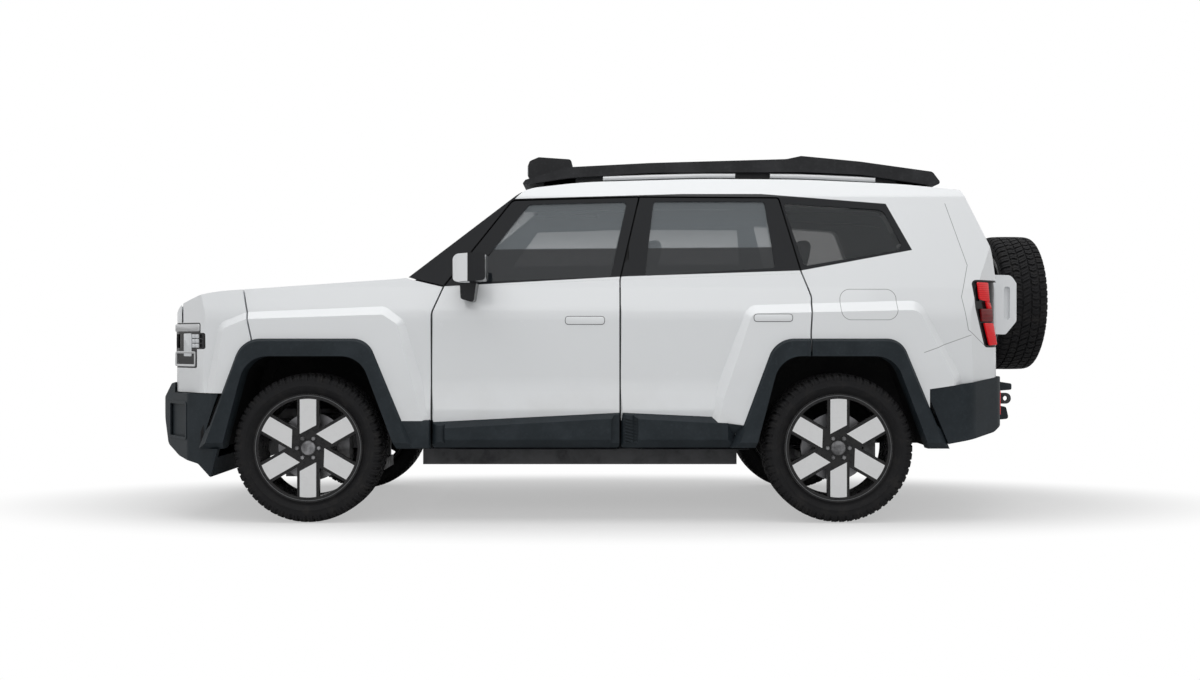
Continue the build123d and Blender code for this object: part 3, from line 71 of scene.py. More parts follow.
class Shade:
    """One output of a material's nodes. Arithmetic on it adds Math nodes; node() adds any other kind."""

    def __init__(self, tree, socket=None):
        self.tree = tree
        self.socket = socket

    def node(self, kind, settings=None, sockets=None, out=0):
        made = self.tree.nodes.new("ShaderNode" + kind)
        for name, value in (settings or {}).items():
            setattr(made, name, value)
        for name, value in (sockets or {}).items():
            if isinstance(value, Shade):
                self.tree.links.new(value.socket, made.inputs[name])
            else:
                made.inputs[name].default_value = value
        return Shade(self.tree, made.outputs[out])

    def maths(self, operation, *values):
        return self.node("Math", {"operation": operation}, dict(enumerate(values)))

    def __add__(self, other):
        return self.maths("ADD", self, other)

    __radd__ = __add__

    def __mul__(self, other):
        return self.maths("MULTIPLY", self, other)

    __rmul__ = __mul__

    def __sub__(self, other):
        return self.maths("SUBTRACT", self, other)

    def __rsub__(self, other):
        return self.maths("SUBTRACT", other, self)

    def __truediv__(self, other):
        return self.maths("DIVIDE", self, other)

    def __abs__(self):
        return self.maths("ABSOLUTE", self)

    def low(self, other):
        return self.maths("MINIMUM", self, other)

    def high(self, other):
        return self.maths("MAXIMUM", self, other)

    def power(self, other):
        return self.maths("POWER", self, other)

    def ramp(self, start, end):
        """0 before start, 1 after end, smooth between."""
        return self.node("MapRange", {"interpolation_type": "SMOOTHSTEP"},
                         {"Value": self, "From Min": start, "From Max": end})

    def fall(self, start, end):
        """1 before start, 0 after end, smooth between."""
        return 1.0 - self.ramp(start, end)

    def step(self, half=0.001):
        """0 below zero and 1 above it, smooth within half on each side."""
        return self.ramp(-half, half)

    def between(self, first, second):
        """The colour first where this is 0 and second where it is 1."""
        return self.node("Mix", {"data_type": "RGBA"}, {"Factor": self, 6: first, 7: second}, out=2)


def rgb(red, green, blue):
    return (red, green, blue, 1.0)


class Finish:
    """A material whose Principled shader is fed by expressions on Object coordinates."""

    def __init__(self, name):
        self.material = bpy.data.materials.new(name)
        self.material.use_nodes = True
        tree = self.material.node_tree
        tree.nodes.clear()
        self.tree = tree
        self.start = Shade(tree)
        self.shader = tree.nodes.new("ShaderNodeBsdfPrincipled")
        output = tree.nodes.new("ShaderNodeOutputMaterial")
        tree.links.new(self.shader.outputs[0], output.inputs["Surface"])
        self.place = self.start.node("TexCoord", out="Object")
        self.facing = self.start.node("TexCoord", out="Normal")
        self.x, self.y, self.z = (self.start.node("SeparateXYZ", None, {0: self.place}, out=axis)
                                  for axis in range(3))

    def noise(self, scale, detail=3.0, rough=0.55, stretch=None):
        """Cloudy values about 0.5; stretch is a scale for each axis."""
        place = self.place
        if stretch:
            place = self.start.node("Mapping", {"vector_type": "POINT"}, {"Vector": place, "Scale": stretch})
        return self.start.node("TexNoise", None, {"Vector": place, "Scale": scale, "Detail": detail,
                                                  "Roughness": rough})

    def cells(self, scale):
        return self.start.node("TexVoronoi", None, {"Vector": self.place, "Scale": scale})

    def set(self, **values):
        """Links or plain values for the shader's sockets; spaces in their names are underscores here."""
        for name, value in values.items():
            socket = self.shader.inputs[name.replace("_", " ")]
            if isinstance(value, Shade):
                self.tree.links.new(value.socket, socket)
            else:
                socket.default_value = value
        return self

    def bump(self, height, strength, distance):
        """Small relief from a height that is about 0 to 1."""
        relief = self.start.node("Bump", None, {"Height": height, "Strength": strength, "Distance": distance})
        return self.set(Normal=relief)


def seam(finish, x_low, x_high, z_low, z_high, corner, half):
    """1 along the outline of a round-cornered rectangle on the side view, from its signed distance."""
    across = abs(finish.x - (x_low + x_high) / 2) - ((x_high - x_low) / 2 - corner)
    up = abs(finish.z - (z_low + z_high) / 2) - ((z_high - z_low) / 2 - corner)
    ax, az = across.high(0.0), up.high(0.0)
    distance = (ax * ax + az * az).power(0.5) + across.high(up).low(0.0) - corner
    return abs(distance).fall(half * 0.7, half * 1.3)


def scored(finish, places, half):
    """1 along a line through places, which are points of x and z on the side view, from the distance to its
    nearest run."""
    nearest = None
    for (x0, z0), (x1, z1) in zip(places, places[1:]):
        dx, dz = x1 - x0, z1 - z0
        px, pz = finish.x - x0, finish.z - z0
        along = ((px * dx + pz * dz) / (dx * dx + dz * dz)).high(0.0).low(1.0)
        ex, ez = px - along * dx, pz - along * dz
        square = ex * ex + ez * ez
        nearest = square if nearest is None else nearest.low(square)
    return nearest.power(0.5).fall(half * 0.6, half * 1.4)


# ---- finishes

WHITE = rgb(0.785, 0.806, 0.822)
SHADED_WHITE = rgb(0.765, 0.772, 0.782)
GLOSS_BLACK = rgb(0.010, 0.011, 0.013)
TRIM_GREY = rgb(0.055, 0.057, 0.062)
PAINT_SHINE = {"Coat_Roughness": 0.05, "Specular_IOR_Level": 0.22}

# Scored lines of the rear quarter on the side view: limits of x and z and the corner of the charge flap, then
# points of x and z
FLAP = (-1.555, -1.247, 1.113, 1.282, 0.055)
PILLAR_GROOVE = [(-1.867, 1.769), (-1.961, 1.417), (-1.915, 1.240), (-1.949, 1.058), (-2.055, 0.975)]
CORNER_GROOVE = [(-1.699, 0.935), (-1.964, 1.030)]
GROOVE_HALF = 0.0016

# Straight edges of the black window band on the side view. Columns: x, z, rise of z with x
BELT_EDGES = [(0.930, 1.298, -0.0556), (-0.077, 1.354, -0.0342), (-1.043, 1.387, -0.187),
              (0.930, 1.298, 0.177)]
DRIP_EDGES = [(0.560, 1.797, -0.0302), (-0.933, 1.818, 0.0826)]
DRIP_TOP = 1.826

# Painted shade: paint is made black low in the shut lines and under the sill, where they lie in shade: x and
# half width of those lines, the height below which they count, and the sill's lower edge
SHUT_LINES = [(0.994, 0.009), (-0.042, 0.012)]
SHUT_TOP = 0.560
SILL_EDGE = 0.4105


def paint(name, glasshouse=False, flap=False):
    """White clear-coated paint with faint orange peel and road film low down. Low in the shut lines and along
    the sill's lower edge it is gloss black, as painted shade. With glasshouse, the pillars and window frames
    between belt line and drip are gloss black and the cabin side is grey trim, and with flap as well the pocket
    behind the door gaps is painted grey, as painted shade. With flap, the rear quarter's lines are scored."""
    f = Finish(name)
    cloud = f.noise(2.2)
    film = f.z.fall(0.42, 0.95) * f.noise(5.0, 5.0).ramp(0.35, 0.75) * 0.22
    colour = (cloud * 0.35).between(WHITE, SHADED_WHITE)
    colour = film.between(colour, rgb(0.50, 0.48, 0.45))
    rough = f.noise(9.0) * 0.10 + 0.20
    coat = 0.55
    # Painted shade: gloss black low in the door shut lines and along the sill's lower edge
    fore, aft = (abs(f.x - place).fall(half, half + 0.001) for place, half in SHUT_LINES)
    gap_shade = fore.high(aft) * f.z.fall(SHUT_TOP, SHUT_TOP + 0.006)
    gap_shade = gap_shade.high(f.z.fall(SILL_EDGE, SILL_EDGE + 0.001))
    if flap:
        line = seam(f, *FLAP, GROOVE_HALF)
        for groove in (PILLAR_GROOVE, CORNER_GROOVE):
            line = line.high(scored(f, groove, GROOVE_HALF))
        colour = (line * 0.75).between(colour, rgb(0.10, 0.10, 0.105))
    if glasshouse:
        front, middle, quarter, nose = (z + (f.x - x) * rise for x, z, rise in BELT_EDGES)
        lower = front.low(middle).high(quarter).high(nose)
        ahead, behind = (z + (f.x - x) * rise for x, z, rise in DRIP_EDGES)
        pillar = (f.x + f.z - 2.347).step(0.002)
        upper = ahead.low(DRIP_TOP).low(behind) + pillar
        rear = -1.663 + (f.z - 1.503) * 0.4845
        black = (f.z - lower).step() * (upper - f.z).step() * (f.x - rear).step()
        colour = black.between(colour, GLOSS_BLACK)
        rough = rough - black * 0.12
        coat = coat - black * 0.50
        turn = f.start.node("SeparateXYZ", None, {0: f.facing}, out=1) * f.y
        inside = turn.fall(-0.45, -0.30)
        if flap:
            # Painted shade: the pocket behind the door gaps takes the grey trim, where its white paint lies in
            # shade
            pocket_shade = abs(f.y).fall(0.884, 0.888) * (f.x + 1.10).step(0.005) * f.z.fall(1.29, 1.30)
            inside = inside.high(pocket_shade)
        colour = inside.between(colour, TRIM_GREY)
        rough = rough + inside * 0.4
    colour = gap_shade.between(colour, GLOSS_BLACK)
    f.set(Base_Color=colour, Roughness=rough + gap_shade * 0.3, Coat_Weight=coat * (1.0 - gap_shade), **PAINT_SHINE)
    return orange_peel(f)


def orange_peel(f):
    """The finish's material, with the faint waves of sprayed paint."""
    f.bump(f.noise(420.0, 1.0), 0.05, 0.0006)
    return f.material


def mirror_shell(name):
    """Door mirror: white cap over the leading part of the shell, gloss black behind it and down the stalk."""
    f = Finish(name)
    cap = (f.x - 0.772).step() * (f.z - 1.312).step()
    tone = f.noise(3.0) * 0.4
    black = tone.between(GLOSS_BLACK, rgb(0.02, 0.021, 0.023))
    f.set(Base_Color=cap.between(black, tone.between(WHITE, SHADED_WHITE)),
          Roughness=0.16 + f.noise(9.0) * 0.1, Coat_Weight=cap * 0.5, **PAINT_SHINE)
    return orange_peel(f)


def side_pane(name, colour):
    """Tinted side glass: dark below a nearly level line, and clearer above it, less so towards the top. Above
    the line the pane is painted paler, as painted light.
    """
    f = Finish(name)
    line = 1.513
    # Painted light: above the line the pane's colour is made paler and its alpha lower
    clear = (f.z + f.x * 0.008 - line).step(0.004) * (1.0 - (f.z - line).ramp(0.0, 0.24) * 0.35)
    f.set(Base_Color=clear.between(colour, rgb(0.235, 0.265, 0.285)), Roughness=0.02 + wiped(f) * 0.05,
          Alpha=0.86 - clear * 0.53, Coat_Weight=0.1, IOR=1.5)
    return f.material


def wiped(f):
    """0 to 1 in faint level streaks, as a cloth leaves them on glass."""
    return f.noise(7.0, 5.0, 0.6, (1.0, 1.0, 6.0)).ramp(0.45, 0.85)


def moulded(name, colour, light, rough, grain=900.0, depth=0.0006):
    """Grained moulded plastic: fine pebble relief, a paler film on it and a little mottling."""
    f = Finish(name)
    pebble = f.cells(grain)
    film = f.noise(6.0, 6.0, 0.6).ramp(0.35, 0.8)
    worn = f.noise(60.0, 4.0).ramp(0.5, 0.75) * 0.25
    f.set(Base_Color=(film * 0.6 + worn).between(colour, light), Specular_IOR_Level=0.20,
          Roughness=rough + film * 0.12 - pebble * 0.10)
    f.bump(pebble * 0.7 + f.noise(250.0) * 0.5, 0.35, depth)
    return f.material


def tinted_glass(name, colour, alpha):
    """Tinted pane: dark body colour, clear enough to see the seats, with faint wiped streaks in its gloss."""
    f = Finish(name)
    f.set(Base_Color=(f.noise(1.5) * 0.5).between(colour, rgb(0.030, 0.036, 0.042)),
          Roughness=0.02 + wiped(f) * 0.06, Alpha=alpha, Coat_Weight=0.3, IOR=1.5)
    return f.material


def rubber(name):
    """Tyre rubber: near black, dusty in patches, with a dull fine grain."""
    f = Finish(name)
    dust = f.noise(14.0, 6.0, 0.65).ramp(0.45, 0.85)
    f.set(Base_Color=(dust * 0.55).between(rgb(0.012, 0.012, 0.013), rgb(0.045, 0.042, 0.039)),
          Roughness=0.66 + dust * 0.18, Specular_IOR_Level=0.14)
    f.bump(f.noise(700.0, 2.0), 0.3, 0.0005)
    return f.material


def wheel_enamel(name, axle, centre):
    """Gloss black cast wheel whose raised spoke panels are white, with a grey line on its lip, a bare disc and
    brake dust. axle is 0 where the wheel's axle lies along X and 1 along Y; centre is its middle."""
    f = Finish(name)
    out = abs((f.x, f.y)[axle] - centre[axle])
    reach = (f.y, f.x)[axle] - centre[1 - axle]
    up = f.z - centre[2]
    radius = (reach * reach + up * up).power(0.5)
    raised = out.ramp(0.1085, 0.1100)
    face = raised * radius.fall(0.2700, 0.2710)
    lip = raised * abs(radius - 0.2880).fall(0.0008, 0.0016)
    disc = out.fall(0.020, 0.030) * radius.fall(0.187, 0.189)
    dust = f.noise(35.0, 5.0).ramp(0.35, 0.8)
    colour = (dust * 0.4).between(rgb(0.011, 0.011, 0.012), rgb(0.035, 0.033, 0.031))
    colour = lip.between(colour, rgb(0.16, 0.165, 0.17))
    colour = face.between(colour, rgb(0.74, 0.745, 0.75))
    rings = radius.node("TexNoise", {"noise_dimensions": "1D"}, {"W": radius, "Scale": 900.0, "Detail": 2.0})
    colour = disc.between(colour, rings.between(rgb(0.16, 0.16, 0.17), rgb(0.32, 0.32, 0.33)))
    f.set(Base_Color=colour, Roughness=0.26 + dust * 0.14 + disc * 0.1, Metallic=disc * 0.9, Coat_Weight=0.12,
          Coat_Roughness=0.08, Specular_IOR_Level=0.22)
    f.bump(f.noise(350.0) + rings * disc, 0.12, 0.0005)
    return f.material


def cast_metal(name, colour, worn, rough=0.5, metallic=0.7):
    """Cast or forged running gear: pitted skin with rubbed bright spots and grime."""
    f = Finish(name)
    grime = f.noise(11.0, 6.0, 0.65).ramp(0.35, 0.75)
    pits = f.noise(160.0, 4.0)
    f.set(Base_Color=grime.between(worn, colour), Roughness=rough + grime * 0.25,
          Metallic=metallic - grime * 0.45)
    f.bump(pits + f.cells(420.0) * 0.4, 0.4, 0.001)
    return f.material


def satin_metal(name, colour, rough, grain=(1.0, 40.0, 40.0)):
    """Brushed bright metal with fine lines along X."""
    f = Finish(name)
    lines = f.noise(60.0, 4.0, 0.6, grain)
    f.set(Base_Color=lines.between(colour, rgb(*(c * 0.72 for c in colour[:3]))), Metallic=0.85,
          Roughness=rough + lines * 0.14)
    f.bump(lines, 0.10, 0.0004)
    return f.material


def lens(name, colour, deep, ribs, glow=0.0, axis=2):
    """Moulded lamp lens: narrow ribs across it, darker between them, under a glossy face."""
    f = Finish(name)
    along = (f.x, f.y, f.z)[axis]
    wave = f.start.maths("SINE", along * (2 * math.pi * ribs)) * 0.5 + 0.5
    colour_now = (wave * 0.6 + f.noise(80.0) * 0.3).between(deep, colour)
    f.set(Base_Color=colour_now, Roughness=0.10 + f.noise(30.0) * 0.08, Coat_Weight=0.3, Coat_Roughness=0.03,
          Specular_IOR_Level=0.30)
    if glow:
        f.set(Emission_Color=colour_now, Emission_Strength=glow)
    f.bump(wave, 0.35, 0.0015)
    return f.material


def hide(name, colour, light):
    """Leather: creased pebble grain, softer sheen on the crowns and pale marks of wear."""
    f = Finish(name)
    grain = f.cells(330.0)
    crease = f.noise(26.0, 6.0, 0.65)
    f.set(Base_Color=(crease.ramp(0.4, 0.8) * 0.5 + grain * 0.2).between(colour, light),
          Roughness=0.42 + crease * 0.2 + grain * 0.1, Specular_IOR_Level=0.4)
    f.bump(grain * 0.8 + crease * 0.8, 0.45, 0.0012)
    return f.material


PAINT = paint("white_paint")
SIDE_PAINT = paint("white_side_paint", glasshouse=True)
QUARTER_PAINT = paint("white_quarter_paint", glasshouse=True, flap=True)
CLADDING = moulded("grained_cladding", rgb(0.011, 0.016, 0.020), rgb(0.030, 0.038, 0.045), 0.55)
LINER = moulded("liner_felt", rgb(0.010, 0.010, 0.011), rgb(0.028, 0.027, 0.026), 0.85, 500.0, 0.0012)
GLASS = side_pane("tinted_glass", rgb(0.014, 0.017, 0.020))
MIRROR = mirror_shell("mirror_shell")
SCREEN = tinted_glass("screen_glass", rgb(0.02, 0.024, 0.026), 0.45)
RUBBER = rubber("tyre_rubber")
IRON = cast_metal("cast_iron", rgb(0.028, 0.027, 0.026), rgb(0.14, 0.14, 0.145))
STEEL = cast_metal("hinge_steel", rgb(0.05, 0.05, 0.052), rgb(0.30, 0.30, 0.31), 0.38, 0.85)
PRIMER = cast_metal("floor_primer", rgb(0.030, 0.031, 0.034), rgb(0.060, 0.061, 0.065), 0.6, 0.25)
CASING = cast_metal("unit_casing", rgb(0.07, 0.07, 0.072), rgb(0.22, 0.22, 0.23), 0.5, 0.6)
RACK_COAT = moulded("rack_powder_coat", rgb(0.011, 0.0115, 0.013), rgb(0.040, 0.041, 0.044), 0.50, 1400.0,
                    0.0004)
SILVER = satin_metal("satin_strip", rgb(0.62, 0.63, 0.64), 0.28)
CHROME = satin_metal("bright_trim", rgb(0.70, 0.71, 0.72), 0.12)
LAMP_SHELL = moulded("lamp_housing", rgb(0.008, 0.008, 0.009), rgb(0.022, 0.022, 0.024), 0.16, 1600.0, 0.0002)
RED_LENS = lens("red_lens", rgb(0.68, 0.008, 0.012), rgb(0.40, 0.005, 0.008), 90.0, glow=0.35)
DARK_RED_LENS = lens("ribbed_red_lens", rgb(0.30, 0.008, 0.010), rgb(0.050, 0.003, 0.004), 130.0)
CLEAR_LENS = lens("clear_lens", rgb(0.74, 0.76, 0.78), rgb(0.46, 0.48, 0.50), 110.0, glow=0.12, axis=1)
LEATHER = hide("seat_leather", rgb(0.045, 0.045, 0.048), rgb(0.11, 0.11, 0.115))
RIM_LEATHER = hide("steering_leather", rgb(0.018, 0.018, 0.019), rgb(0.050, 0.050, 0.052))
CABIN = moulded("cabin_plastic", rgb(0.034, 0.035, 0.038), rgb(0.072, 0.073, 0.078), 0.60, 1100.0, 0.0005)
SHADOW_GAP = moulded("gap_rubber", rgb(0.010, 0.010, 0.011), rgb(0.030, 0.030, 0.032), 0.7)
MIRROR_GLASS = satin_metal("mirror_silver", rgb(0.80, 0.82, 0.83), 0.03, (3.0, 3.0, 3.0))
SCREEN_BLACK = tinted_glass("display_glass", rgb(0.006, 0.007, 0.009), 1.0)


def dress(material, *nodes):
    """One material over the whole of each CAD node."""
    for name in nodes:
        slots = NODES[name].data.materials
        slots.clear()
        slots.append(material)


dress(PAINT, "roof_panel", "front_wings", "front_fascia", "hood_panel", "tailgate_panel", "spare_carrier")
dress(QUARTER_PAINT, "body_sides")
dress(CLADDING, "front_bumper", "rear_bumper", "arch_trims")
dress(LINER, "wheel_liners")
dress(GLASS, "tailgate_glass")
dress(SCREEN, "fixed_glass")
dress(STEEL, "hinge_brackets")
dress(IRON, "front_suspension", "rear_suspension", "knuckle_left", "knuckle_right")
dress(PRIMER, "underbody", "cowl", "battery_pack")
dress(CASING, "power_unit")
dress(RACK_COAT, "roof_rack", "light_bar")
dress(LAMP_SHELL, "head_lamps", "tail_lamps")
dress(CABIN, "dashboard")
dress(LEATHER, "front_seats", "rear_bench")
dress(RIM_LEATHER, "steering_wheel")
for hand in SIDES:
    dress(MIRROR, f"door_mirror_{hand}")
    for end in AXLE_X:
        dress(SIDE_PAINT, f"door_{end}_{hand}")
        dress(GLASS, f"door_glass_{end}_{hand}")
        dress(CLADDING, f"door_cladding_{end}_{hand}")
        hub = (AXLE_X[end], SIDES[hand] * WHEEL_Y, WHEEL_Z)
        dress(wheel_enamel(f"wheel_enamel_{end}_{hand}", 1, hub), f"rim_{end}_{hand}")
        dress(RUBBER, f"tyre_{end}_{hand}")
dress(wheel_enamel("wheel_enamel_spare", 0, SPARE_AT), "spare_rim")
dress(RUBBER, "spare_tyre")


# ---- surfaces from arrays

def grid_faces(count_u, count_v, close_u=False, close_v=False):
    """Quads between the points of a count_u by count_v grid; either way may close on itself."""
    u, v = np.meshgrid(np.arange(count_u - (not close_u)), np.arange(count_v - (not close_v)), indexing="ij")
    u2, v2 = (u + 1) % count_u, (v + 1) % count_v
    corners = [u * count_v + v, u2 * count_v + v, u2 * count_v + v2, u * count_v + v2]
    return np.stack(corners, -1).reshape(-1, 4)


def loft(rings, caps=True):
    """Rings is an array of K rings of N points: quads join ring to ring, and a flat face closes each end."""
    k, n = rings.shape[:2]
    faces = grid_faces(k, n, close_v=True).tolist()
    if caps:
        faces.append(list(range(n))[::-1])
        faces.append(list(range((k - 1) * n, k * n)))
    return rings.reshape(-1, 3), faces


def joined(parts):
    """Several surfaces as one list of points and faces."""
    points, faces, start = [], [], 0
    for part_points, part_faces in parts:
        points.append(part_points)
        faces += [[i + start for i in face] for face in part_faces]
        start += len(part_points)
    return np.concatenate(points), faces


def piece(name, parts, body, material, sharp=0.6):
    """One mesh from surfaces, faces turned outwards, riding on a body."""
    points, faces = joined(parts)
    mesh = bpy.data.meshes.new(name)
    mesh.from_pydata(points.tolist(), [], faces)
    work = bmesh.new()
    work.from_mesh(mesh)
    bmesh.ops.recalc_face_normals(work, faces=work.faces)
    work.to_mesh(mesh)
    work.free()
    mesh.polygons.foreach_set("use_smooth", np.ones(len(mesh.polygons), bool))
    mesh.set_sharp_from_angle(angle=sharp)
    mesh.materials.append(material)
    made = bpy.data.objects.new(name, mesh)
    bpy.context.scene.collection.objects.link(made)
    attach(made, body)
    return made


def rounded(corners, radius, steps=5):
    """A polygon whose corners are cut back by radius and bridged by a quadratic curve through each corner."""
    p = np.asarray(corners, float)
    before, after = np.roll(p, 1, 0) - p, np.roll(p, -1, 0) - p
    reach = np.broadcast_to(np.asarray(radius, float), len(p))[:, None]
    start = p + before / np.linalg.norm(before, axis=1, keepdims=True) * reach
    end = p + after / np.linalg.norm(after, axis=1, keepdims=True) * reach
    s = np.linspace(0, 1, steps)[None, :, None]
    curve = (1 - s) ** 2 * start[:, None] + 2 * s * (1 - s) * p[:, None] + s ** 2 * end[:, None]
    return curve.reshape(-1, 2)


def inset(outline, amount):
    """A closed outline moved in by amount along the mitre of its edges."""
    edge = np.roll(outline, -1, 0) - outline
    edge = edge / np.maximum(np.linalg.norm(edge, axis=1, keepdims=True), 1e-9)
    area = np.sum(outline[:, 0] * np.roll(outline[:, 1], -1) - np.roll(outline[:, 0], -1) * outline[:, 1])
    normal = np.stack([-edge[:, 1], edge[:, 0]], 1) * np.sign(area)
    both = normal + np.roll(normal, 1, 0)
    share = np.maximum(1 + np.sum(normal * np.roll(normal, 1, 0), axis=1, keepdims=True), 0.4)
    return outline + amount * both / share


def plate(outline, low, high, bevel, spread):
    """A plate with a bevelled top: the outline is carried from height low to high, and stands in by bevel at
    the very top. spread turns outline and height into points in space."""
    levels = [(0.0, low), (0.0, high - bevel), (bevel * 0.3, high - bevel * 0.3), (bevel, high)]
    return loft(np.stack([spread(inset(outline, i), h) for i, h in levels]))


def skin_plane(node, corners, sign):
    """Coefficients of the plane y = a + b x + c z through a node's outer skin at three points of the side
    view."""
    heights = [NODES[node].ray_cast((x, sign * 3.0, z), (0.0, -sign, 0.0))[1][1] for x, z in corners]
    return np.linalg.solve(np.array([(1.0, x, z) for x, z in corners]), np.array(heights))


def side_spread(plane, sign):
    """Side-view points laid on a skin plane, and lifted outwards by a height."""
    return lambda uv, h: np.stack([uv[:, 0], plane[0] + uv @ plane[1:] + sign * h, uv[:, 1]], 1)


def turned_round(profile, count, centre, axis):
    """A profile of along-axis and radius pairs turned about an axle through centre, with flat end faces."""
    angle = np.linspace(0, 2 * np.pi, count, endpoint=False)[None, :]
    along, radius = profile[:, :1], profile[:, 1:]
    c, s = radius * np.cos(angle), radius * np.sin(angle)
    a = np.broadcast_to(along, c.shape)
    return loft(np.stack((a, c, s) if axis == "x" else (s, a, c), -1) + np.asarray(centre, float))


def tube(path, radius, sides=10):
    """A round bar: a circle carried along a path of points, square to its run."""
    path = np.asarray(path, float)
    run = np.gradient(path, axis=0)
    run /= np.linalg.norm(run, axis=1, keepdims=True)
    guide = np.where(np.abs(run[:, 2:]) < 0.9, [[0.0, 0.0, 1.0]], [[1.0, 0.0, 0.0]])
    side = np.cross(run, guide)
    side /= np.linalg.norm(side, axis=1, keepdims=True)
    top = np.cross(side, run)
    angle = np.linspace(0, 2 * np.pi, sides, endpoint=False)
    size = np.broadcast_to(np.asarray(radius, float), len(path))[:, None, None]
    ring = side[:, None] * np.cos(angle)[None, :, None] + top[:, None] * np.sin(angle)[None, :, None]
    return loft(path[:, None] + ring * size)


def box_outline(u0, u1, v0, v1, radius, steps=5):
    """A rectangle with round corners."""
    return rounded([(u0, v0), (u1, v0), (u1, v1), (u0, v1)], radius, steps)


def block(low, high, radius):
    """A box with rounded upright edges and bevelled ends, standing along Z."""
    (x0, y0, z0), (x1, y1, z1) = low, high
    edge = box_outline(x0, x1, y0, y1, radius * 1.5, 4)
    levels = [(radius, z0), (0.0, z0 + radius), (0.0, z1 - radius), (radius, z1)]
    return loft(np.stack([np.column_stack([inset(edge, i), np.full(len(edge), z)]) for i, z in levels]))


# ---- tyres with an all-terrain tread

TREAD_DEPTH = 0.0095
PITCHES = 58
# Half of the tyre's section, from the bead to the crown. Columns: distance from the middle plane, radius,
# groove depth as a share of the tread depth, 1 in a groove that runs right round, shift of the cross grooves
# in pitches
TYRE_HALF = np.array([
    (0.1000, 0.2845, 0, 0, 0), (0.1000, 0.3020, 0, 0, 0), (0.1040, 0.3120, 0, 0, 0),
    (0.1150, 0.3210, 0, 0, 0), (0.1262, 0.3320, 0, 0, 0), (0.1300, 0.3395, 0, 0, 0),
    (0.1322, 0.3400, 0, 0, 0), (0.1326, 0.3425, 0, 0, 0), (0.1318, 0.3440, 0, 0, 0),
    (0.1322, 0.3560, 0, 0, 0), (0.1320, 0.3660, 0, 0, 0), (0.1314, 0.3700, 0, 0, 0),
    (0.1316, 0.3712, 0.45, 0, 0.00), (0.1306, 0.3800, 0.50, 0, 0.00), (0.1278, 0.3900, 0.60, 0, 0.02),
    (0.1240, 0.3968, 0.80, 0, 0.04), (0.1170, 0.4025, 1.0, 0, 0.06), (0.1060, 0.4062, 1.0, 0, 0.10),
    (0.0930, 0.4080, 1.0, 0, 0.15), (0.0815, 0.4086, 1.0, 0, 0.20), (0.0795, 0.4086, 1.0, 1, 0.22),
    (0.0715, 0.4090, 1.0, 1, 0.40), (0.0695, 0.4092, 1.0, 0, 0.42), (0.0520, 0.4095, 1.0, 0, 0.62),
    (0.0500, 0.4095, 1.0, 0, 0.60), (0.0315, 0.4098, 1.0, 0, 0.44), (0.0297, 0.4098, 1.0, 1, 0.42),
    (0.0232, 0.4099, 1.0, 1, 0.72), (0.0214, 0.4100, 1.0, 0, 0.74), (0.0010, 0.4100, 1.0, 0, 1.02),
])
# Along one pitch, as shares of it: where a point lies, and 1 on a tread block or 0 in a cross groove
PITCH_ROWS = np.array([(0.00, 1), (0.28, 1), (0.30, 0.55), (0.33, 0.55), (0.35, 1), (0.64, 1), (0.69, 0),
                       (0.95, 0)])


def tyre_surface(centre, axis, outside):
    """A closed ring: the section runs across the tyre and the angle runs round it. Each point falls back along
    the section's own normal where a groove runs round the tyre or a cross groove passes, and the angle is
    sheared along the section so that cross grooves slant and step from row to row."""
    other = TYRE_HALF[::-1] * np.array([-1, 1, 1, 1, -1]) + np.array([0, 0, 0, 0, 2.04])
    rows = np.concatenate([TYRE_HALF, other])
    along, radius, depth, around, shift = rows.T
    d_along = np.roll(along, -1) - np.roll(along, 1)
    d_radius = np.roll(radius, -1) - np.roll(radius, 1)
    size = np.hypot(d_along, d_radius)
    normal_along, normal_radius = d_radius / size, -d_along / size
    step = (np.arange(PITCHES)[:, None] + PITCH_ROWS[None, :, 0]).reshape(-1)
    top = np.tile(PITCH_ROWS[:, 1], PITCHES)
    fall = TREAD_DEPTH * depth[None, :] * np.maximum(around[None, :], 1 - top[:, None])
    angle = (step[:, None] + shift[None, :]) * (2 * np.pi / PITCHES)
    a = (along[None, :] - fall * normal_along[None, :]) * outside
    r = radius[None, :] - fall * normal_radius[None, :]
    c, s = r * np.cos(angle), r * np.sin(angle)
    points = np.stack((s, a, c) if axis == "y" else (a, s, c), -1) + np.asarray(centre)
    return points.reshape(-1, 3), grid_faces(len(step), len(rows), True, True).tolist()


for hand, sign in SIDES.items():
    for end, axle_x in AXLE_X.items():
        ring = tyre_surface((axle_x, sign * WHEEL_Y, WHEEL_Z), "y", sign)
        made = piece(f"treaded_tyre_{end}_{hand}", [ring], f"wheel_{end}_{hand}", RUBBER, 0.55)
        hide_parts(f"tyre_{end}_{hand}")
made = piece("treaded_tyre_spare", [tyre_surface(SPARE_AT, "x", -1.0)], "tailgate", RUBBER, 0.55)
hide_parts("spare_tyre")


# ---- lamps, handles, trim

def pair(name, parts, body, material, sharp=0.6):
    """The left piece and its mirrored right-hand twin; a body name with {} takes the hand."""
    for hand, sign in SIDES.items():
        turned = [(points * np.array([1.0, sign, 1.0]), faces) for points, faces in parts]
        piece(f"{name}_{hand}", turned, body.format(hand), material, sharp)


def wall_spread(start, end):
    """Points of distance along and height z laid on the upright wall over the plan line from start to end,
    and lifted off it towards the right of that line."""
    a, b = np.asarray(start, float), np.asarray(end, float)
    run = (b - a) / np.linalg.norm(b - a)
    out = np.array([run[1], -run[0]])
    return lambda uv, h: np.column_stack([a + uv[:, :1] * run + h * out, uv[:, 1]])


def wall_at(line, x):
    """Distance along a plan line at a station x."""
    (x0, y0), (x1, y1) = line
    return (x0 - x) / (x0 - x1) * math.hypot(x1 - x0, y1 - y0)


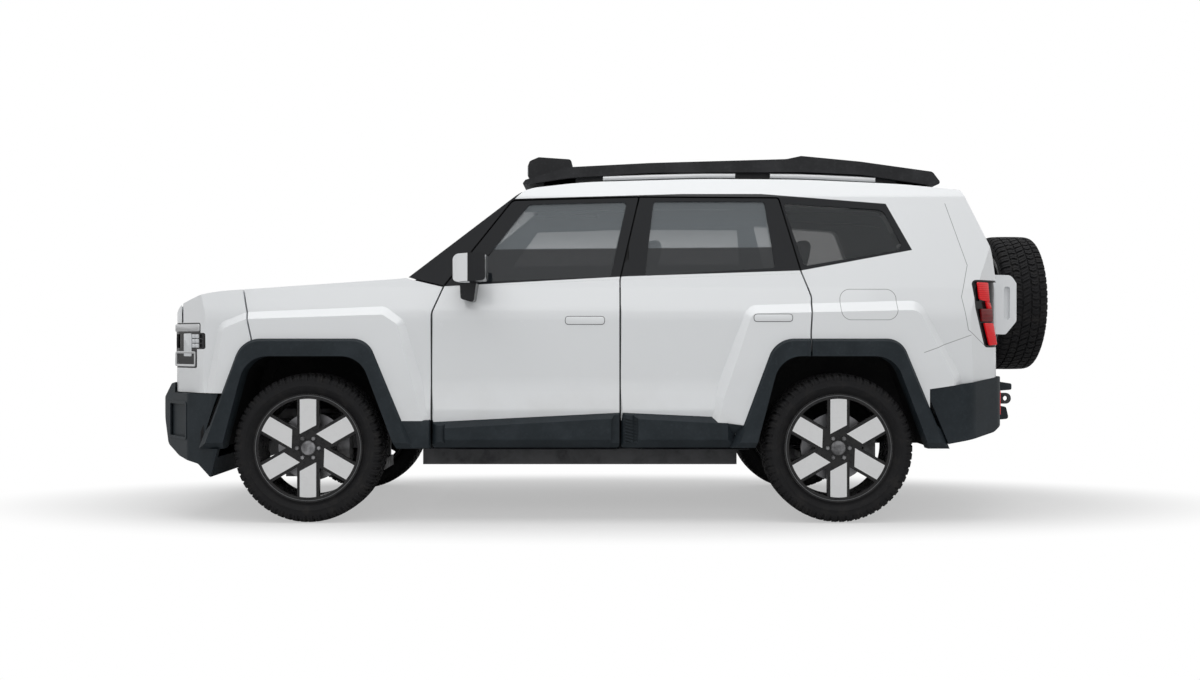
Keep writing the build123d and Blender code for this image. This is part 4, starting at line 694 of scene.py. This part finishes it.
# Head lamps, on the chamfered front corner. Its plan line runs from the nose to the wing.
NOSE_LINE = ((2.472, 0.700), (2.217, 0.960))
NOSE_WALL = wall_spread(*NOSE_LINE)


def nose_outline(x0, x1, z0, z1, radius, steps=5):
    """A rectangle with round corners on the chamfered front corner, between two stations."""
    return box_outline(wall_at(NOSE_LINE, x0), wall_at(NOSE_LINE, x1), z0, z1, radius, steps)


def lamp_frame(outline, spread):
    """An open frame: the outline stands up off the wall, rounds over and drops back inside."""
    levels = [(0.0, -0.003), (0.0, 0.005), (0.003, 0.007), (0.012, 0.006), (0.012, -0.003)]
    return loft(np.stack([spread(inset(outline, i), h) for i, h in levels]), caps=False)


top_bar = plate(nose_outline(2.462, 2.272, 1.050, 1.092, 0.010), -0.004, 0.007, 0.004, NOSE_WALL)
low_frame = lamp_frame(nose_outline(2.462, 2.302, 0.856, 0.940, 0.016), NOSE_WALL)
upright_light = plate(nose_outline(2.398, 2.338, 0.912, 1.040, 0.008), -0.004, 0.005, 0.003, NOSE_WALL)
light_cells = [plate(nose_outline(x + 0.010, x - 0.010, z - 0.011, z + 0.011, 0.003, 3), -0.004, 0.005, 0.002,
                     NOSE_WALL) for x in (2.318, 2.292) for z in (1.024, 0.998, 0.972)]
pair("head_lamp_bar", [top_bar, low_frame], "body", SILVER)
pair("head_lamp_light", [upright_light] + light_cells, "body", CLEAR_LENS)


def front_spread(node, corners):
    """Outline points of y and z laid on a plane through a node's front skin at three points, and lifted
    forwards."""
    heights = [NODES[node].ray_cast((4.0, y, z), (-1.0, 0.0, 0.0))[1][0] for y, z in corners]
    plane = np.linalg.solve(np.array([(1.0, y, z) for y, z in corners]), np.array(heights))
    return lambda uv, h: np.column_stack([plane[0] + uv @ plane[1:] + h, uv])


NOSE_FRONT = front_spread("head_lamps", [(0.545, 1.070), (0.670, 1.070), (0.610, 0.900)])
front_bar = plate(box_outline(0.536, 0.690, 1.050, 1.092, 0.008), -0.004, 0.007, 0.004, NOSE_FRONT)
front_frame = lamp_frame(box_outline(0.536, 0.690, 0.856, 0.940, 0.016), NOSE_FRONT)
pair("head_lamp_front_bar", [front_bar, front_frame], "body", SILVER)
front_panel = plate(box_outline(0.534, 0.694, 0.936, 1.054, 0.006), -0.014, -0.002, 0.002, NOSE_FRONT)
pair("head_lamp_front_panel", [front_panel], "body", LAMP_SHELL)
front_lights = [plate(box_outline(y - 0.030, y + 0.030, 0.966, 1.026, 0.010), -0.006, 0.003, 0.003,
                      NOSE_FRONT) for y in (0.575, 0.650)]
pair("head_lamp_front_light", front_lights, "body", CLEAR_LENS)

# Tail lamps, on the chamfered rear corner. Its plan line runs from the quarter to the tailgate.
TAIL_LINE = ((-1.9285, 0.960), (-2.1545, 0.790))
TAIL_WALL = wall_spread(*TAIL_LINE)


def tail_outline(rows, radius):
    """An outline on the chamfered rear corner, from points of x and z on the side view."""
    return rounded([(wall_at(TAIL_LINE, x), z) for x, z in rows], radius)


upper = tail_outline([(-2.006, 1.322), (-2.080, 1.322), (-2.092, 1.212), (-2.020, 1.226)], 0.010)
middle = tail_outline([(-2.028, 1.176), (-2.108, 1.176), (-2.112, 1.104), (-2.034, 1.104)], 0.006)
lower = tail_outline([(-2.052, 1.098), (-2.118, 1.098), (-2.146, 0.976), (-2.092, 0.972)], 0.010)
link = tail_outline([(-2.066, 1.214), (-2.094, 1.212), (-2.106, 1.176), (-2.078, 1.176)], 0.004)
pair("tail_lamp_red", [plate(outline, -0.004, 0.006, 0.004, TAIL_WALL) for outline in (upper, lower, link)],
     "body", RED_LENS)
pair("tail_lamp_ribbed", [plate(middle, -0.004, 0.009, 0.004, TAIL_WALL)], "body", DARK_RED_LENS)


# Flush door handles: a dark joint round a pill-shaped pull. Limits of x and z
HANDLES = {"front": (0.043, 0.262, 1.087, 1.134), "rear": (-0.982, -0.768, 1.102, 1.146)}
for hand, sign in SIDES.items():
    for end, (x0, x1, z0, z1) in HANDLES.items():
        door = f"door_{end}_{hand}"
        lie = side_spread(skin_plane(door, [(x0, z0), (x1, z0), ((x0 + x1) / 2, z1)], sign), sign)
        joint = box_outline(x0, x1, z0, z1, 0.021, 8)
        gap = plate(joint, -0.003, 0.0012, 0.0005, lie)
        pull = plate(inset(joint, 0.0028), -0.003, 0.0032, 0.0014, lie)
        piece(f"handle_joint_{end}_{hand}", [gap], door, SHADOW_GAP)
        piece(f"door_handle_{end}_{hand}", [pull], door, PAINT)


def along_x(station, way):
    """Spread for plates that face along X, forwards for way 1 and back for -1: outline points are y and z."""
    return lambda uv, h: np.column_stack([np.full(len(uv), station + way * h), uv])


# Lamp bar: square lenses in dark bezels
BAR_FACE = along_x(0.4885, 1.0)
bezels, lenses = [], []
for y in (-0.3225, -0.1075, 0.1075, 0.3225):
    face = box_outline(y - 0.092, y + 0.092, 1.962, 2.040, 0.014)
    bezels.append(plate(face, -0.004, 0.005, 0.003, BAR_FACE))
    lenses.append(plate(inset(face, 0.009), -0.002, 0.009, 0.004, BAR_FACE))
piece("light_bar_bezels", bezels, "body", LAMP_SHELL)
piece("light_bar_lenses", lenses, "body", CLEAR_LENS)

# Door mirror glass, on the rear of each shell
pair("mirror_glass", [plate(box_outline(1.000, 1.168, 1.326, 1.458, 0.028), -0.002, 0.0008, 0.0003,
                            along_x(0.6775, -1.0))], "door_front_{}", MIRROR_GLASS)


# Wheel nuts and a plain centre cap on every wheel
def wheel_fittings(centre, axis, outside):
    """Six nuts in a ring and a domed cap, each a profile of height over the hub's face and radius, turned
    about the axle's direction."""
    face, ring = 0.0998, 0.060
    across = 1 if axis == "x" else 0
    nut = np.array([(0, 0.0001), (0, 0.0125), (0.014, 0.0125), (0.018, 0.0095), (0.0185, 0.0001)])
    cap = np.array([(0, 0.0001), (0, 0.04), (0.007, 0.04), (0.011, 0.036), (0.0135, 0.02), (0.014, 0.0001)])
    nut, cap = (profile * [outside, 1] + [outside * face, 0] for profile in (nut, cap))
    parts = []
    for turn in np.arange(6) * math.pi / 3 + math.pi / 6:
        spot = [centre[0], centre[1], centre[2] + ring * math.cos(turn)]
        spot[across] += ring * math.sin(turn)
        parts.append(turned_round(nut, 6, spot, axis))
    parts.append(turned_round(cap, 24, centre, axis))
    return parts


for hand, sign in SIDES.items():
    for end, axle_x in AXLE_X.items():
        piece(f"wheel_fittings_{end}_{hand}", wheel_fittings((axle_x, sign * WHEEL_Y, WHEEL_Z), "y", sign),
              f"wheel_{end}_{hand}", STEEL)
piece("wheel_fittings_spare", wheel_fittings(SPARE_AT, "x", -1.0), "tailgate", STEEL)


# Roof rails: bright strips over the cant rails, and a dark wall behind them under the rack
def roof_line(x, y, stations):
    """Heights of the roof's skin along x, read from above at a few stations and joined by straight runs. The
    skin is the body side's, or the roof panel's where that is missed."""
    places, heights = np.linspace(x[0], x[-1], stations), []
    for at in places:
        casts = [NODES[node].ray_cast((at, y, 3.0), (0.0, 0.0, -1.0)) for node in ("body_sides", "roof_panel")]
        heights.append((casts[0] if casts[0][0] else casts[1])[1][2])
    return np.interp(x, places, heights)


def roof_strip(x0, x1):
    """A bar along the cant rail: a rounded square section carried over the roof's own rise and fall."""
    y, lift, size = 0.617, 0.012, 0.030
    x = np.linspace(x0, x1, 9)
    section = box_outline(-size / 2, size / 2, 0.0, size, size * 0.3, 4)
    z = (roof_line(x, y, 5) + lift)[:, None] + section[:, 1]
    return loft(np.stack(np.broadcast_arrays(x[:, None], y + section[:, 0], z), -1))


pair("roof_strip", [roof_strip(-0.702, 0.053), roof_strip(-1.503, -0.902)], "body", SILVER)

# Under edge of the rack's rim on the side view. Columns: x, z
RACK_UNDER = np.array([(-1.838, 1.884), (-1.413, 1.948), (-1.078, 1.962), (-0.220, 1.958), (0.250, 1.928),
                       (0.500, 1.895)])


def rack_wall(x0, x1, y0, y1):
    """The dark wall behind the strips: an upright band from the roof's surface to the rack's under edge."""
    x = np.linspace(x0, x1, 15)
    low = roof_line(x, (y0 + y1) / 2, 6) - 0.006
    high = np.maximum(np.interp(x, RACK_UNDER[:, 0], RACK_UNDER[:, 1]) + 0.003, low + 0.004)
    corners = [(y0, low), (y1, low), (y1, high), (y0, high)]
    return loft(np.stack([np.stack([x, np.full(15, y), z], -1) for y, z in corners], 1))


pair("rack_wall", [rack_wall(-1.790, 0.430, 0.572, 0.600)], "body", RACK_COAT)


def side_wall(uv, h):
    """Side-view points of x and z at the distance h from the middle plane."""
    return np.column_stack([uv[:, 0], np.full(len(uv), h), uv[:, 1]])


# Lower cover of the front wing, between the arch trim and the door
SILL_COVER = np.array([(0.9995, 0.410), (1.100, 0.410), (1.168, 0.566), (0.9995, 0.566)])
pair("wing_sill_cover", [plate(SILL_COVER, 0.925, 0.972, 0.014, side_wall)], "body", CLADDING)

# Dark filler behind the slit between the front bumper and the arch trim, and the front wheels' inner aprons
FILLER = np.array([(2.128, 0.725), (2.168, 0.725), (2.262, 0.500), (2.262, 0.425), (2.192, 0.425),
                   (2.172, 0.520)])
APRON = np.array([(1.170, 0.520), (1.400, 0.520), (1.420, 0.600), (2.135, 0.600), (2.135, 0.900),
                  (2.000, 0.985), (1.170, 0.985)])
pair("bumper_filler", [plate(FILLER, 0.902, 0.922, 0.002, side_wall)], "body", LINER)
pair("inner_apron", [plate(APRON, 0.416, 0.424, 0.002, side_wall)], "body", LINER)

# Small cover that joins the rear door's cladding to the foot of the arch trim
DOOR_FOOT = np.array([(-0.618, 0.550), (-0.712, 0.537), (-0.664, 0.481)])
FOOT_SKIN = [(-0.640, 0.540), (-0.695, 0.532), (-0.668, 0.500)]
for hand, sign in SIDES.items():
    door = f"door_rear_{hand}"
    cover = plate(DOOR_FOOT, -0.003, 0.006, 0.003, side_spread(skin_plane(door, FOOT_SKIN, sign), sign))
    piece(f"door_foot_cover_{hand}", [cover], door, CLADDING)

# Bumper corners: a frame round the sunk panel in front, a red reflector behind
FRONT_CORNER = wall_spread((2.579, 0.575), (2.354, 0.862))
REAR_CORNER = wall_spread((-2.1785, 0.760), (-2.2385, 0.500))


def ring_plate(outline, width, low, high, spread):
    """A flat ring: the outline's own edge outside, its inset inside, and a small bevel on both."""
    bevel = 0.001
    levels = [(0.0, low), (0.0, high - bevel), (bevel, high), (width - bevel, high), (width, high - bevel),
              (width, low)]
    return loft(np.stack([spread(inset(outline, i), h) for i, h in levels]), caps=False)


corner_frame = ring_plate(box_outline(0.091, 0.356, 0.449, 0.661, 0.020), 0.016, -0.004, 0.0045, FRONT_CORNER)
reflector = plate(box_outline(0.060, 0.096, 0.580, 0.716, 0.008), -0.003, 0.006, 0.003, REAR_CORNER)
pair("corner_frame", [corner_frame], "body", CLADDING)
# The reflector takes the glowing red lens finish: its glow is painted light on a part that is no lamp
pair("corner_reflector", [reflector], "body", RED_LENS)


# Windscreen wipers: an arm and a blade on each, parked low on the screen
def wiper(y_pivot, y_tip):
    """A bent arm from the scuttle to the blade's middle, and a blade along the foot of the screen."""
    foot, slope, normal = np.array([(1.118, 1.364), (-0.780, 0.625), (0.625, 0.780)])

    def on_screen(y, rise, lift):
        x, z = (foot[i] + slope[i] * rise + normal[i] * lift for i in (0, 1))
        return np.column_stack(np.broadcast_arrays(x, y, z))

    bow = np.sin(np.linspace(0, np.pi, 12))
    arm = on_screen(np.linspace(y_pivot, y_tip, 12), np.linspace(0.0, 0.090, 12), 0.026 + 0.010 * bow)
    spine = on_screen(np.linspace(-0.24, 0.24, 15) + y_tip, 0.095, 0.016)
    return [tube(arm, 0.006, 8), tube(spine, np.r_[0.003, np.full(13, 0.008), 0.003], 8)]


piece("wipers", wiper(0.46, 0.20) + wiper(-0.12, -0.38), "body", RACK_COAT)

# Dashboard: a wide display and air vents
piece("display", [plate(box_outline(-0.20, 0.60, 1.150, 1.262, 0.016), -0.010, 0.008, 0.003,
                        along_x(0.632, -1.0))], "body", SCREEN_BLACK)
piece("air_vents", [block((0.590, y - 0.075, z), (0.630, y + 0.075, z + 0.006), 0.002)
                    for y in (-0.62, -0.28, 0.68) for z in np.arange(5) * 0.012 + 1.090],
      "body", RACK_COAT)


# ---- seats

def pad_surface(size, middle, lean, square, bolster):
    """A closed cushion: a rounded block from the powers of sines and cosines of two angles, size half across
    each axis. Its two long sides rise by bolster, and lean shears it back along X with height."""
    u = np.linspace(-np.pi, np.pi, 64, endpoint=False)[:, None]
    v = np.linspace(-np.pi / 2, np.pi / 2, 34)[None, :]
    cos_u, sin_u, cos_v, sin_v = (np.sign(wave) * np.abs(wave) ** square
                                  for wave in (np.cos(u), np.sin(u), np.cos(v), np.sin(v)))
    x, y, z = np.broadcast_arrays(cos_v * cos_u, cos_v * sin_u, sin_v)
    face = np.abs(y) ** 4 * bolster
    points = np.stack([x * size[0], y * size[1], z * size[2]], -1)
    if size[0] > size[2]:
        points[..., 2] += face * (z > 0)
    else:
        points[..., 0] += face * (x > 0)
    points[..., 0] += lean * points[..., 2]
    return (points + np.asarray(middle)).reshape(-1, 3), grid_faces(64, 34, close_u=True).tolist()


SEW_DEPTH, SEW_WIDTH = 0.009, 0.008
NOT_SEWN = [9.0]
BLOWING = 20


def stuffed(name, surface, nodes, sews, cap=0.014):
    """A leather pad: the surface is remeshed evenly and blown up by cloth pressure, no point by more than cap,
    then drawn in along its sewn lines. sews are distances of those lines from the pad's middle across Y."""
    made = piece(name, [surface], "body", LEATHER, 3.2)
    middle = surface[0].mean(axis=0)
    even = made.modifiers.new("even", "REMESH")
    even.mode = "VOXEL"
    even.voxel_size = 0.010
    mesh = bpy.data.meshes.new_from_object(made.evaluated_get(bpy.context.evaluated_depsgraph_get()))
    made.modifiers.clear()
    made.data = mesh
    rest = np.empty(len(mesh.vertices) * 3)
    mesh.vertices.foreach_get("co", rest)
    cloth = made.modifiers.new("air", "CLOTH")
    cloth.settings.use_pressure = True
    cloth.settings.uniform_pressure_force = 4.0
    cloth.settings.effector_weights.gravity = 0.0
    cloth.point_cache.frame_start = 1
    cloth.point_cache.frame_end = BLOWING
    for frame_now in range(1, BLOWING + 1):
        bpy.context.scene.frame_set(frame_now)
    blown = made.evaluated_get(bpy.context.evaluated_depsgraph_get()).data
    full = np.empty(len(rest))
    blown.vertices.foreach_get("co", full)
    made.modifiers.clear()
    bpy.context.scene.frame_set(1)
    rest, move = rest.reshape(-1, 3), (full - rest).reshape(-1, 3)
    far = np.linalg.norm(move, axis=1, keepdims=True)
    points = rest + move * np.minimum(1.0, cap / np.maximum(far, 1e-9))
    out = points - middle
    away = np.abs(np.abs(out[:, 1:2]) - np.asarray(sews)).min(axis=1, keepdims=True)
    out = out / np.linalg.norm(out, axis=1, keepdims=True)
    points = points - out * SEW_DEPTH * np.exp(-(away / SEW_WIDTH) ** 2)
    mesh.vertices.foreach_set("co", points.ravel())
    mesh.update()
    mesh.polygons.foreach_set("use_smooth", np.ones(len(mesh.polygons), bool))
    soft = made.modifiers.new("soft", "SUBSURF")
    soft.levels = soft.render_levels = 1
    if nodes:
        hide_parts(*nodes)


def seat(name, x_back, y, half, nodes, sews):
    """Cushion and back of one seat, each a stuffed pad; the cushion stands for the CAD seat."""
    cushion = pad_surface((0.262, half, 0.072), (x_back + 0.272, y, 0.718), 0.0, 0.42, 0.030)
    back = pad_surface((0.072, half, 0.320), (x_back - 0.012, y, 1.075), -0.30, 0.42, 0.030)
    stuffed(f"{name}_cushion", cushion, nodes, sews)
    stuffed(f"{name}_back", back, [], sews)


def headrest(name, x_back, y):
    """A small pad on two bright posts, over the back of a seat."""
    pad = pad_surface((0.050, 0.130, 0.088), (x_back - 0.172, y, 1.500), -0.20, 0.55, 0.0)
    stuffed(name, pad, [], NOT_SEWN, 0.008)
    posts = [tube([(x_back - 0.150, side, 1.365), (x_back - 0.168, side, 1.480)], 0.006)
             for side in (y - 0.05, y + 0.05)]
    piece(f"{name}_posts", posts, "body", CHROME)


def seat_base(name, x_back, y, half):
    """The plain box between the floor and a cushion."""
    box = block((x_back + 0.065, y - half, 0.4805), (x_back + 0.455, y + half, 0.668), 0.012)
    piece(name, [box], "body", CABIN)


FRONT_BACK, REAR_BACK = -0.0605, -0.9385
FRONT_SEAT_Y = 0.380
for hand, sign in SIDES.items():
    y = sign * FRONT_SEAT_Y
    seat(f"front_seat_{hand}", FRONT_BACK, y, 0.238, ["front_seats"] if sign > 0 else [], [0.13])
    headrest(f"front_headrest_{hand}", FRONT_BACK, y)
    headrest(f"rear_headrest_{hand}", REAR_BACK, sign * 0.360)
    seat_base(f"front_seat_base_{hand}", FRONT_BACK, y, 0.20)
seat("rear_bench", REAR_BACK, 0.0, 0.592, ["rear_bench"], [0.07, 0.20, 0.40])
seat_base("rear_bench_base", REAR_BACK, 0.0, 0.54)


# ---- studio

def studio():
    """A pale floor that keeps the shadow, a white surround for the eye, and two large soft lamps."""
    flat = bpy.data.meshes.new("floor")
    flat.from_pydata([(-40, -40, 0), (40, -40, 0), (40, 40, 0), (-40, 40, 0)], [], [(0, 1, 2, 3)])
    floor = bpy.data.objects.new("floor", flat)
    bpy.context.scene.collection.objects.link(floor)
    pale = bpy.data.materials.new("pale_floor")
    pale.use_nodes = True
    tree = pale.node_tree
    tree.nodes.clear()
    start = Shade(tree)
    eye = start.node("LightPath", out="Is Camera Ray")
    place = start.node("TexCoord", out="Object")
    speck = start.node("TexNoise", None, {"Scale": 3.0, "Vector": place})
    grey = speck.between(rgb(0.80, 0.80, 0.80), rgb(0.82, 0.82, 0.82))
    lit = start.node("BsdfDiffuse", None, {"Color": grey})
    white = start.node("Emission", None, {"Color": rgb(1, 1, 1), "Strength": 1.0})
    across, away = (start.node("SeparateXYZ", None, {0: place}, out=i) for i in (0, 1))
    far = (across * across / 10.0 + away * away / 1.8).ramp(0.7, 1.7)
    both = start.node("MixShader", None, {0: eye * (0.45 + far * 0.55), 1: lit, 2: white})
    tree.links.new(both.socket, tree.nodes.new("ShaderNodeOutputMaterial").inputs["Surface"])
    flat.materials.append(pale)

    world = bpy.data.worlds.new("studio_world")
    world.use_nodes = True
    bpy.context.scene.world = world
    tree = world.node_tree
    tree.nodes.clear()
    start = Shade(tree)
    eye = start.node("LightPath", out="Is Camera Ray")
    gloss = start.node("LightPath", out="Is Glossy Ray")
    clear = start.node("LightPath", out="Is Transmission Ray")
    seen = eye.high(gloss).high(clear)
    fill = 0.48
    level = seen * (1.0 - fill) + fill
    back = start.node("Background", None, {"Color": rgb(1, 1, 1), "Strength": level})
    tree.links.new(back.socket, tree.nodes.new("ShaderNodeOutputWorld").inputs["Surface"])

    for name, place, turn, size, power in (
        ("top_lamp", (0.3, 1.6, 6.0), (math.radians(-12), 0, 0), (9.0, 4.5), 210.0),
        ("side_lamp", (0.6, 9.5, 5.2), (math.radians(-60), 0, 0), (8.0, 3.0), 105.0),
    ):
        data = bpy.data.lights.new(name, "AREA")
        data.shape = "RECTANGLE"
        data.size, data.size_y = size
        data.energy = power
        lamp = bpy.data.objects.new(name, data)
        lamp.location = place
        lamp.rotation_euler = turn
        bpy.context.scene.collection.objects.link(lamp)


def eye_point():
    """The photo's camera: level with the door handles, square to the vehicle's left side."""
    data = bpy.data.cameras.new("photo_camera")
    data.sensor_width = 36.0
    data.lens = 38.19
    data.clip_end = 200.0
    camera = bpy.data.objects.new("photo_camera", data)
    camera.location = (0.070, 7.907, 1.003)
    camera.rotation_euler = (math.radians(90), 0.0, math.radians(180))
    bpy.context.scene.collection.objects.link(camera)
    bpy.context.scene.camera = camera


studio()
eye_point()
bpy.context.scene.view_settings.view_transform = "Standard"
